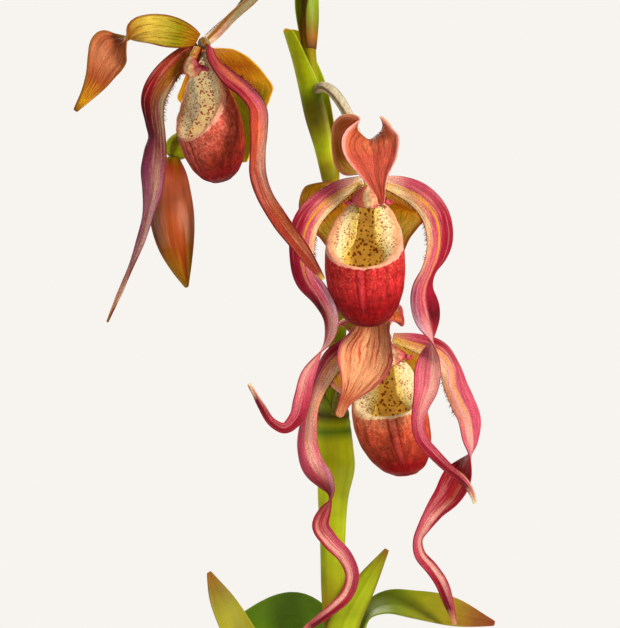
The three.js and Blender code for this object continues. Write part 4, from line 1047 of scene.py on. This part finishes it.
def sepal_finish(name, along, vein, margin, boldness, veins=9, glow=0.0):
    """Paint along a sepal, a tinted margin, and veins that wander and fade."""
    f = Finish(name, 0.46, Subsurface_Weight=0.1, Subsurface_Scale=0.001, Emission_Strength=glow)
    u, v = f.uv()
    out = f.away(f.times(u, 2.0), 1.0)
    body = f.mix(f.ease(out, 0.8, 1.0), f.ramp(v, along), margin)
    shift = f.streaks(u, v, 5, 6, 4.0, 0.5)
    phase = f.plus(f.times(u, veins), f.times(shift, 1.7))
    wave = f.math("SINE", f.times(phase, 2 * math.pi))
    strong = f.streaks(u, v, 8, 5, 2.0, z=3.0)
    line = f.times(f.ease(wave, 0.1, 0.95), f.ease(strong, 0.36, 0.62))
    wash = f.streaks(u, v, 6, 3, 4.0, z=7.0)
    body = f.mix(f.times(f.ease(wash, 0.45, 0.68), 0.35), body, vein)
    body = f.mix(f.times(line, boldness), body, vein)
    fine = f.streaks(u, v, 80, 14, 3.0, 0.4)
    body = f.shade(body, fine, 0.6, 1.4)
    nap = f.noise(f.spot(), 2200.0, 2.0)
    body = f.shade(body, nap, 0.72, 1.28)
    f.relief(f.minus(fine, f.times(line, 0.8)), 0.35)
    f.feed(f.shader.inputs["Emission Color"], body)
    return f.done(body)


def sepal_swell(u, v):
    return 0.5 * np.cos(3 * math.pi * u) * np.sin(math.pi * v) * (1 - np.abs(u)) ** 0.5


for number, rows in DORSALS.items():
    turn = math.radians(TURNS[number])
    places = blade_places(at_flower(number, rows), side=(math.cos(turn), math.sin(turn), 0),
                          along=80, across=30, hook=HORN_HOOKS[number], detail=sepal_swell)
    piece = grid_piece(f"hood_{number}", places)
    skins = [sepal_finish(f"hood_{face}_{number}", *DORSAL_PAINT[number, face])
             for face in ("upper", "under")]
    soften(piece, SEPAL_THICKNESS, skins)
    stand_for(piece, f"dorsal_sepal_{number}")

# %% [markdown]
# ## Joined lower sepals
# Behind each pouch hang the two lower sepals, grown into one broad blade. Each could have its own
# run in the plant's frame, but one in the flower's own axes, where the front is -Y, can be shared
# and then turned with the flower. The youngest flower still holds it open like a wing; the others
# cup round their pouches. Light comes through it from behind, and a weak glow in its finish stands
# for that.

# %% Joined lower sepals
NODS = {1: 20, 2: 0, 3: 0}  # degrees forwards
LEANS = {1: 0, 2: 0, 3: -8}  # degrees to one side
OPEN_SEPAL = [
    [0, 1.6, -3.5, 2.6, 0, 0], [0, 3.4, -4.2, 11, 0, 0], [0, 5.6, -7, 18, 0, -5],
    [0, 7.5, -12, 25, 0, -12], [0, 8.8, -19, 31.5, 0, -18], [0, 9, -24.5, 35.5, 0, -20],
    [0, 8.4, -30, 31, 0, -20], [0, 7.5, -37, 23, 0, -20], [0, 5.5, -47, 12, 0, -15],
    [0, 3, -57, 2, 0, 0],
]
CUPPED_SEPAL = [
    [0, 1.6, -3.3, 2.6, 0, 0], [0, 3.4, -3.6, 14, 0, -5], [-0.5, 5.6, -5.5, 24, 0, -18],
    [-1.5, 7.4, -9.5, 30, 0, -36], [-1.5, 8.8, -16, 29, 0, -48], [-1, 8.8, -24, 22, 0, -48],
    [0, 7.8, -33, 15, 0, -42], [0, 5.5, -45, 9, 0, -30], [0, 2.5, -58, 2, 0, 0],
]
SYNSEPAL_PAINT = {
    1: ("0 peach, 0.1 gold, 0.22 amber, 0.34 gold, 0.5 olive", "copper", "gold", 0.4),
    2: ("0 butter, 0.1 amber, 0.22 gold, 0.34 straw", "olive", "copper", 0.7),
    3: ("0 butter, 0.15 gold, 0.3 straw", "amber", "blush", 0.6),
}


def about(axis, angle):
    """The 3 x 3 turn by an angle about an axis."""
    i, j = {"X": (1, 2), "Y": (2, 0), "Z": (0, 1)}[axis]
    turn = np.eye(3)
    turn[i, i] = turn[j, j] = math.cos(angle)
    turn[j, i] = math.sin(angle)
    turn[i, j] = -turn[j, i]
    return turn


def turned_with(number, points):
    """Points in a flower's own axes, in mm, in the plant's frame."""
    y, z, x = (math.radians(a) for a in (LEANS[number], TURNS[number], NODS[number]))
    turn = about("Y", y) @ about("Z", z) @ about("X", x) * SIZES[number]
    return np.array(points) @ turn.T + np.array(CENTRES[number])


def synsepal_seam(u, v):
    return -0.6 * np.exp(-((u / 0.05) ** 2)) * np.sin(math.pi * v) + 0.4 * np.sin(5 * u + 9 * v)


for number in CENTRES:
    rows = OPEN_SEPAL if number == 1 else CUPPED_SEPAL
    places = blade_places(rows, facing=FRONT, along=50, across=32, detail=synsepal_seam)
    piece = grid_piece(f"lower_sepals_{number}", turned_with(number, places))
    skin = sepal_finish(f"lower_sepals_{number}", *SYNSEPAL_PAINT[number], veins=14, glow=0.3)
    soften(piece, SEPAL_THICKNESS, [skin])
    stand_for(piece, f"synsepal_{number}")

# %% [markdown]
# ## Pouches
# The lip of a slipper orchid is a pouch. Its outside is an ellipse at every height. The rim dips
# low in front and climbs to the flower's centre behind, and at the sides broad lobes fold in over
# the mouth. Spinning a profile would give a level rim, so a grid is wrapped round instead, as that
# wall and then over the fold, merged along its seam and at its foot, and thickened. The wall is
# red, with a fine nap and grooves down the front; the grooves are darkened with painted shade, and
# the ridge between them is lightened with a painted highlight. The lobes are cream with fine
# spots, and the cavity is cream or golden with larger ones.

# %% Pouch shape
POUCH_AXIS = -11.5
POUCH_WALL = 1.0
POUCH_RADII = [  # height, half width, half depth
    (-60.6, 3.5, 3), (-58.5, 8.5, 7), (-53, 12.6, 10.7), (-46, 15.2, 12.8), (-38, 16.2, 13.4),
    (-31, 16, 13.1), (-24, 15, 12.2), (-17, 13.4, 11.2), (-10.5, 10.9, 10.4), (-3.8, 7.2, 9.9),
]
POUCH_CREST = [  # degrees from the front, crest height, width of the infolded lobe
    (0, -38, 1.8), (30, -36.5, 2.4), (60, -31, 7.5), (90, -24, 11.5), (120, -14, 9),
    (150, -7, 4.4), (180, -3.8, 1.4),
]
POUCH_BOWS = {1: -2, 2: 1.2, 3: 3.6}  # how far the middle bows to its left, in mm
MOUTH_LIFTS = {1: 0, 2: 0, 3: 3.2}  # how much higher the mouth is in front, in mm
LOBE_WIDTHS = {1: (1.15, 0.5), 2: (1, 1), 3: (1, 1)}  # shares of the lobes' width, left, right
POUCH_COLUMNS, WALL_ROWS, LOBE_ROWS = 84, 39, 12
RIM_SHARE = (WALL_ROWS + 1) / (WALL_ROWS + 1 + LOBE_ROWS)  # where the fold lies along V
GROOVES = ((-9, 0.5), (4, 0.55), (-3, -0.3))  # degrees from the front, depth in mm


def smooth_table(rows, key, blur):
    """A table read at many keys, with its corners rounded off."""
    table = np.array(rows, float)
    near = [np.stack([np.interp(key + d, table[:, 0], column) for column in table.T[1:]])
            for d in np.linspace(-blur, blur, 9)]
    return np.mean(near, axis=0)


def pouch_places(number):
    turn = np.linspace(-math.pi, math.pi, POUCH_COLUMNS + 1)[None, :]
    crest, lobe = smooth_table(POUCH_CREST, np.degrees(np.abs(turn)), 9)
    crest = crest + MOUTH_LIFTS[number] * np.maximum(np.cos(turn), 0) ** 2
    left, right = LOBE_WIDTHS[number]
    share = np.where(turn < 0, left, right)
    lobe = lobe * (1 + (share - 1) * np.abs(np.sin(turn)))
    foot = POUCH_RADII[0][0]
    climb = np.linspace(0, 1, WALL_ROWS + 1)[:, None] ** 1.25
    folds = np.linspace(0, 1, LOBE_ROWS + 1)[1:, None]
    heights = np.vstack([foot + climb * (crest - foot), crest + 0 * folds])
    half_width, half_depth = smooth_table(POUCH_RADII, heights, 1.2)
    groove = sum(depth * np.exp(-(((turn - math.radians(at)) / 0.045) ** 2))
                 for at, depth in GROOVES)
    groove = groove * np.sin(math.pi * np.clip(climb, 0, 1) ** 1.2) ** 0.7
    ruffle = 0.35 * np.sin(17 * turn) * np.abs(np.sin(turn)) ** 2
    inset = np.vstack([groove + ruffle * climb ** 6, lobe * folds + ruffle * (1 - folds)])
    rise = np.vstack([0 * climb * lobe,
                      0.6 * np.sin(math.pi * folds) - 1.6 * folds ** 2 + 0 * lobe])
    depth = np.maximum(half_depth - inset * 0.9, 0.6)
    width = np.maximum(half_width - inset, 0.6)
    bow = POUCH_BOWS[number] * np.sin(math.pi * (heights - foot) / -foot)
    places = np.stack([width * np.sin(turn) - bow, POUCH_AXIS - depth * np.cos(turn),
                       heights + rise], axis=-1)
    pole = np.broadcast_to(places[0].mean(0), places[:1].shape)
    return np.concatenate([pole - (0, 0, 0.5), places])


print(f"a pouch is {max(row[1] for row in POUCH_RADII) * 2:.0f} mm wide, before its flower's size")

# %% [markdown]
# ### Pouch paint
# V on the map says where a point lies from the foot over the rim to the lobe's edge. One band
# paints the wall, up to a ragged border near the rim that lies lower at the sides, and another
# paints the lobes. A pale crackle spreads over the wall towards the rim. Spots come from a cell
# pattern in space: only the middles of cells are painted, and a slow noise varies their size.

# %% Pouch paint
# the paint in the grooves is painted shade
POUCH_PAINT = {  # paint up the wall, in the grooves, and of the pale crackle under the rim
    1: ("0 wine, 0.2 blood, 0.42 brick, 0.66 terra", "wine", "blush"),
    2: ("0 wine, 0.14 blood, 0.3 blood, 0.5 scarlet", "blood", "salmon"),
    3: ("0.2 blood, 0.4 brick, 0.6 coral, 0.72 salmon", "blood", "peach"),
}
SIDE_BORDERS = {1: 0.03, 2: 0.04, 3: 0.05}  # how far along V the red ends below the fold
LOBE_PLACES = (RIM_SHARE - 0.06, RIM_SHARE + 0.03, RIM_SHARE + 0.11, 1)
LOBE_PAINT = {  # paint of the lobes, at these places along V
    1: ("blush", "peach", "cream", "pearl"),
    2: ("blush", "peach", "cream", "straw"),
    3: ("peach", "cream", "cream", "straw"),
}
CAVITY_PAINT = {
    1: "0 straw, 0.35 cream, 0.8 pearl",
    2: "0 gold, 0.3 butter, 0.75 butter, 1 cream",
    3: "0 gold, 0.3 butter, 0.75 butter, 1 cream",
}
CAVITY_GLOW = {1: 0.3, 2: 0.14, 3: 0.14}
CAVITY_SPOTS = {1: (840.0, "brick"), 2: (720.0, "rust"), 3: (720.0, "rust")}  # how fine, paint


def cell_spots(f, scale, low, high):
    """Round spots, as a share of paint, from the middles of a cell pattern."""
    cells = f.node("ShaderNodeTexVoronoi", {"Vector": f.spot(), "Scale": scale}, out="Distance")
    size = f.noise(f.spot(), scale * 0.3, 2.0)
    reach = f.node("ShaderNodeMapRange", {"Value": size, "From Min": 0.35, "From Max": 0.65,
                                          "To Min": low, "To Max": high})
    return f.ease(f.minus(reach, cells), -0.02, 0.08)


def pouch_outside(number):
    f = Finish(f"pouch_outside_{number}", 0.4, Subsurface_Weight=0.1, Subsurface_Scale=0.0015)
    u, v = f.uv()
    along, groove, crackle = POUCH_PAINT[number]
    upright = f.node("ShaderNodeMapping", {0: f.spot(), "Scale": (420, 420, 170)})
    fold = f.noise(upright, 1.0, 4.0, 0.6)
    wrinkle = f.noise(f.spot(), 620.0, 4.0, 1.0)
    wall = f.shade(f.ramp(v, along), wrinkle, 0.6, 1.4)
    wall = f.shade(wall, fold, 0.6, 1.4)
    high = f.ease(v, 0.4, RIM_SHARE)
    pale = f.times(f.ease(wrinkle, 0.46, 0.66), high)
    wall = f.mix(f.times(pale, 0.34), wall, crackle)
    streak = f.streaks(u, v, 60, 3, 4.0, 0.6)
    wall = f.shade(wall, streak, 0.65, 1.35)
    # painted shade darkens the two grooves, and a painted highlight in rose lightens the ridge
    # between them
    for at, depth in GROOVES:
        away = f.away(u, 0.5 + at / 360)
        mark = f.times(f.ease(away, 0.010, 0.001), f.ease(v, 0.12, 0.4))
        paint, share = (groove, 0.7) if depth > 0 else ("rose", 0.3)
        wall = f.mix(f.times(mark, share), wall, paint)
    aside = f.ease(f.away(u, 0.5), 0.05, 0.2)
    border = f.minus(RIM_SHARE - 0.012, f.times(aside, SIDE_BORDERS[number]))
    ragged = f.times(f.minus(wrinkle, 0.5), 0.03)
    above = f.minus(f.plus(v, ragged), border)
    band = [f"{place} {paint}" for place, paint in zip(LOBE_PLACES, LOBE_PAINT[number])]
    lobe = f.ramp(v, ", ".join(band))
    lobe = f.shade(lobe, wrinkle, 0.7, 1.2)
    inner = f.ease(v, RIM_SHARE + 0.01, RIM_SHARE + 0.08)
    dots = f.times(cell_spots(f, 960.0, 0.26, 0.46), inner)
    lobe = f.mix(f.times(dots, 0.85), lobe, "brick")
    body = f.mix(f.ease(above, -0.006, 0.008), wall, lobe)
    nap = f.noise(f.spot(), 1800.0, 2.0)
    body = f.shade(body, nap, 0.75, 1.25)
    f.relief(f.plus(wrinkle, f.times(streak, 0.5)), 0.5)
    return f.done(body)


def pouch_inside(number):
    """The cavity glows, because light comes through its thin wall."""
    f = Finish(f"pouch_inside_{number}", 0.5, Emission_Strength=CAVITY_GLOW[number])
    _, v = f.uv()
    body = f.ramp(v, CAVITY_PAINT[number])
    mottle = f.noise(f.spot(), 260.0, 3.0)
    body = f.shade(body, mottle, 0.75, 1.25)
    fineness, paint = CAVITY_SPOTS[number]
    dots = cell_spots(f, fineness, 0.3, 0.52)
    body = f.mix(f.times(dots, 0.9), body, paint)
    f.feed(f.shader.inputs["Emission Color"], body)
    f.relief(mottle, 0.3)
    return f.done(body)


for number in CENTRES:
    places = turned_with(number, pouch_places(number))
    piece = grid_piece(f"slipper_{number}", places, closed=True)
    soften(piece, POUCH_WALL, [pouch_outside(number), pouch_inside(number)])
    stand_for(piece, f"pouch_{number}")

# %% [markdown]
# ## Columns
# The column stands over the mouth of the pouch. It ends in a broad shield, the staminode, whose
# lower corners are drawn out into small hooks and whose upper edges carry a fringe of crimson
# hairs. It could be sculpted as one lump, but simple forms keep its corners crisp: the post is a
# short tube, the shield a curled blade, and each hook a tapering tube. Each has a finish of its
# own, blotched and flecked with crimson, and they are joined into one piece.

# %% Columns
POST = [[0, -3.9, -1, 2.0], [0, -7, -4, 2.5], [0, -11, -8.5, 2.6]]
SHIELD = [
    [0, -9.6, -3.6, 1.5, 0, 10], [0, -11, -5.4, 4.5, 0, 25], [0, -12.2, -8, 8, 0, 50],
    [0, -12.5, -10, 8.4, 0, 60], [0, -12.1, -11.6, 5, 0, 40], [0, -11.8, -12.4, 2, 0, 20],
]
HOOK = [[7.2, -9.9, -9.2, 1.1], [8.6, -9.0, -10.4, 0.9], [9.6, -9.2, -10.0, 0.6],
        [10.2, -9.8, -8.8, 0.25]]
SHIELD_ACROSS, SHIELD_THICKNESS = 20, 1.2
FRINGE_HAIRS = 45  # on each side of a shield
FRINGE_ROWS = (3, 15)  # of the shield's grid, from its top
FRINGE_LENGTHS, FRINGE_GIRTH = (0.8, 1.6), 0.09


def column_finish(name, across, fleck_share):
    """Paint across a part of the column, blotched, with fine crimson flecks."""
    f = Finish(name, 0.4, Subsurface_Weight=0.1, Subsurface_Scale=0.001)
    u, _ = f.uv()
    drop = f.noise(f.spot(), 300.0, 4.0, 0.8)
    shift = f.times(f.minus(drop, 0.5), 0.5)
    body = f.ramp(f.plus(u, shift), across)
    body = f.shade(body, drop, 0.6, 1.3)
    fleck = f.noise(f.spot(), 1100.0, 3.0)
    body = f.mix(f.times(f.ease(fleck, 0.56, 0.68), fleck_share), body, "crimson")
    f.relief(drop, 0.3)
    return f.done(body)


def shield_dome(u, v):
    return 0.8 * np.exp(-((u / 0.4) ** 2) - ((v - 0.55) / 0.2) ** 2)


post_skin = column_finish("column_post", "0 brick, 0.4 butter, 0.7 rust", 0.6)
shield_skin = column_finish("column_shield", "0 crimson, 0.12 rose, 0.35 peach, 0.5 cream, "
                                             "0.65 salmon, 0.88 rose, 1 crimson", 0.7)
hook_skin = column_finish("column_hook", "0 rose, 1 crimson", 0.4)
for number in CENTRES:
    parts = [grid_piece("post", turned_with(number, tube_places(POST, 20, 12)), closed=True)]
    soften(parts[0], finishes=[post_skin])
    shield_places = blade_places(SHIELD, facing=FRONT, along=26, across=SHIELD_ACROSS,
                                 detail=shield_dome)
    shield_places = turned_with(number, shield_places)
    shield = grid_piece("shield", shield_places)
    soften(shield, SHIELD_THICKNESS, [shield_skin])
    parts.append(shield)
    for mirror in (1, -1):
        rows = [[mirror * x, y, z, r] for x, y, z, r in HOOK]
        parts.append(grid_piece("hook", turned_with(number, tube_places(rows, 12, 14)), True))
        soften(parts[-1], finishes=[hook_skin])
    piece = join_pieces(parts)
    piece.name = f"staminode_{number}"
    stand_for(piece, f"column_{number}")
    spots, frames = [], []
    for edge in (0, -1):
        for i in chance.uniform(*FRINGE_ROWS, FRINGE_HAIRS):
            at = shield_places[int(i), edge]
            middle = shield_places[int(i), SHIELD_ACROSS // 2]
            out = unit(at - middle) + (0, 0, 0.6) + chance.normal(0, HAIR_SPREAD, 3)
            spots.append(at)
            frames.append(pointing(out, chance.uniform(*FRINGE_LENGTHS), FRINGE_GIRTH))
    fringe = gather(f"fringe_{number}", hair_shape(), spots, frames, hair_skin)
    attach(fringe, "root")

# %% [markdown]
# ## Pot
# The pot is thrown clay. A Screw modifier could turn its profile, but here it is drawn up as a
# potter would: a ring of points starts under the foot, and each extrude and scale raises the wall,
# turns the rim band over and comes down inside to the floor. Booleans cut the four drain holes,
# and a small bevel takes off the sharp edges.

# %% Pot
pot_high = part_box("pot")[1] / MM
RIM, HEIGHT = pot_high.x, pot_high.z
FOOT, WALL, BAND, FLOOR = 57.5, 4.5, 24, 6
DRAIN_RADIUS, DRAIN_CIRCLE, DRAIN_DEPTH = 5, 28, 20
OVERHANG = 6  # of the rim band over the wall
WEAR = 0.7  # width of the worn edges
wall_top = RIM - OVERHANG
POT_PROFILE = [  # radius, height
    (FOOT - 1.5, 0), (FOOT, 1.5), (wall_top, HEIGHT - BAND), (RIM - 1, HEIGHT - BAND + 1),
    (RIM, HEIGHT - BAND + 3), (RIM, HEIGHT - 2), (RIM - 2, HEIGHT),
    (wall_top - WALL + 5, HEIGHT), (wall_top - WALL + 3, HEIGHT - 2),
    (wall_top - WALL, HEIGHT - BAND), (FOOT - WALL, FLOOR + 2), (FOOT - WALL - 2, FLOOR),
]


def clay_finish():
    f = Finish("fired_clay", 0.85)
    spot = f.spot()
    tone = f.noise(spot, 22.0, 4.0)
    body = f.mix(f.ease(tone, 0.3, 0.75), "clay", "fired")
    bloom = f.noise(spot, 55.0, 5.0, 0.8)
    damp = f.times(f.ease(f.reach("Z"), 0.045, 0.0), f.ease(bloom, 0.45, 0.7))
    body = f.mix(f.times(damp, 0.7), body, "chalk")
    grain = f.noise(spot, 900.0, 3.0)
    rings = f.noise(f.node("ShaderNodeMapping", {0: spot, "Scale": (4, 4, 420)}), 1.0, 2.0)
    body = f.shade(body, grain, 0.85, 1.15)
    f.relief(f.plus(grain, rings), 0.25)
    return f.done(body)


radius, level = POT_PROFILE[0]
bpy.ops.mesh.primitive_circle_add(
    vertices=96, radius=radius * MM, fill_type="NOTHING", location=(0, 0, level * MM)
)
pot = bpy.context.object
pot.name = "clay_pot"
bpy.ops.object.transform_apply(location=True)
bpy.ops.object.mode_set(mode="EDIT")
bpy.ops.mesh.select_all(action="SELECT")
bpy.ops.mesh.edge_face_add()
bpy.ops.mesh.select_all(action="SELECT")
bpy.ops.mesh.select_mode(type="EDGE")
extrude = bpy.ops.mesh.extrude_edges_move  # at first, so that the foot's face stays behind
for next_radius, next_level in POT_PROFILE[1:]:
    extrude(TRANSFORM_OT_translate={"value": (0, 0, (next_level - level) * MM)})
    extrude = bpy.ops.mesh.extrude_region_move
    grow = next_radius / radius
    bpy.ops.transform.resize(value=(grow, grow, 1))
    radius, level = next_radius, next_level
bpy.ops.mesh.edge_face_add()
bpy.ops.mesh.select_all(action="SELECT")
bpy.ops.mesh.normals_make_consistent(inside=False)
bpy.ops.mesh.select_mode(type="VERT")
bpy.ops.object.mode_set(mode="OBJECT")
drains = []
for degrees in (45, 135, 225, 315):
    angle = math.radians(degrees)
    bpy.ops.mesh.primitive_cylinder_add(
        vertices=32, radius=DRAIN_RADIUS * MM, depth=DRAIN_DEPTH * MM,
        location=(DRAIN_CIRCLE * math.cos(angle) * MM, DRAIN_CIRCLE * math.sin(angle) * MM, 0),
    )
    drains.append(bpy.context.object)
    hole = pot.modifiers.new("drain", "BOOLEAN")
    hole.operation = "DIFFERENCE"
    hole.object = drains[-1]
edge = pot.modifiers.new("worn_edge", "BEVEL")
edge.width = WEAR * MM
edge.segments = 2
edge.limit_method = "ANGLE"
apply_modifiers(pot)
bpy.ops.object.shade_smooth_by_angle(angle=math.radians(40))
for drain in drains:
    bpy.data.objects.remove(drain)
pot.data.materials.append(clay_finish())
stand_for(pot, "pot")

# %% [markdown]
# ## Bark and crown
# Orchids grow in chips of bark. The body of the medium and the crown with its roots stay as they
# were built, under a bark finish and a root finish. What shows is the top layer. Particles could
# scatter it, but a plain mesh is wanted, so one rough chip is modelled from a cube, and copies of
# it lie over the top, turned and sized by a seeded draw.

# %% Bark and crown
def bark_finish():
    f = Finish("bark_chip", 0.9)
    body = f.ramp(f.tint(), "0 umber, 0.4 brown, 0.8 copper, 1 taupe")
    crack = f.noise(f.spot(), 240.0, 5.0, 1.2)
    body = f.shade(body, crack, 0.35, 1.35)
    f.relief(crack, 0.8)
    return f.done(body)


def root_finish():
    f = Finish("root_skin", 0.6)
    tone = f.noise(f.spot(), 120.0, 3.0)
    return f.done(f.ramp(tone, "0.3 moss, 0.5 taupe, 0.7 cream"))


def wear(node, finish):
    """A construction node that stays as it is gets its finish."""
    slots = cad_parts[node].data.materials
    slots.clear()
    slots.append(finish)


bark_skin = bark_finish()
wear("bark_mix", bark_skin)
wear("crown", root_finish())
bpy.ops.mesh.primitive_cube_add(size=1)
chip = bpy.context.object
bpy.ops.object.mode_set(mode="EDIT")
bpy.ops.mesh.select_all(action="SELECT")
bpy.ops.mesh.subdivide(number_cuts=1)
bpy.ops.transform.vertex_random(offset=0.16, seed=3)
bpy.ops.object.mode_set(mode="OBJECT")
CHIPS = 260
CHIP_SIZES = ((7, 15), (5, 9), (2.5, 5))  # least and most length, width and thickness
CHIP_RING = (17, 62)  # from and to what radius they lie
BARK_TOP, BARK_BUMPS = 118, (-1.5, 2.5)
spots, frames = [], []
for _ in range(CHIPS):
    angle = chance.uniform(0, 2 * math.pi)
    reach = math.sqrt(chance.uniform(CHIP_RING[0] ** 2, CHIP_RING[1] ** 2))
    level = BARK_TOP + chance.uniform(*BARK_BUMPS)
    spots.append(np.array([reach * math.cos(angle), reach * math.sin(angle), level]))
    yaw, tip = chance.uniform(0, math.pi), chance.uniform(-0.5, 0.5)
    size = np.diag([chance.uniform(*span) for span in CHIP_SIZES])
    frames.append(about("Z", yaw) @ about("X", tip) @ size * MM)
chips = gather("bark_chips", chip, spots, frames, bark_skin)
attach(chips, "root")
print(f"{CHIPS} chips of bark lie on the medium")
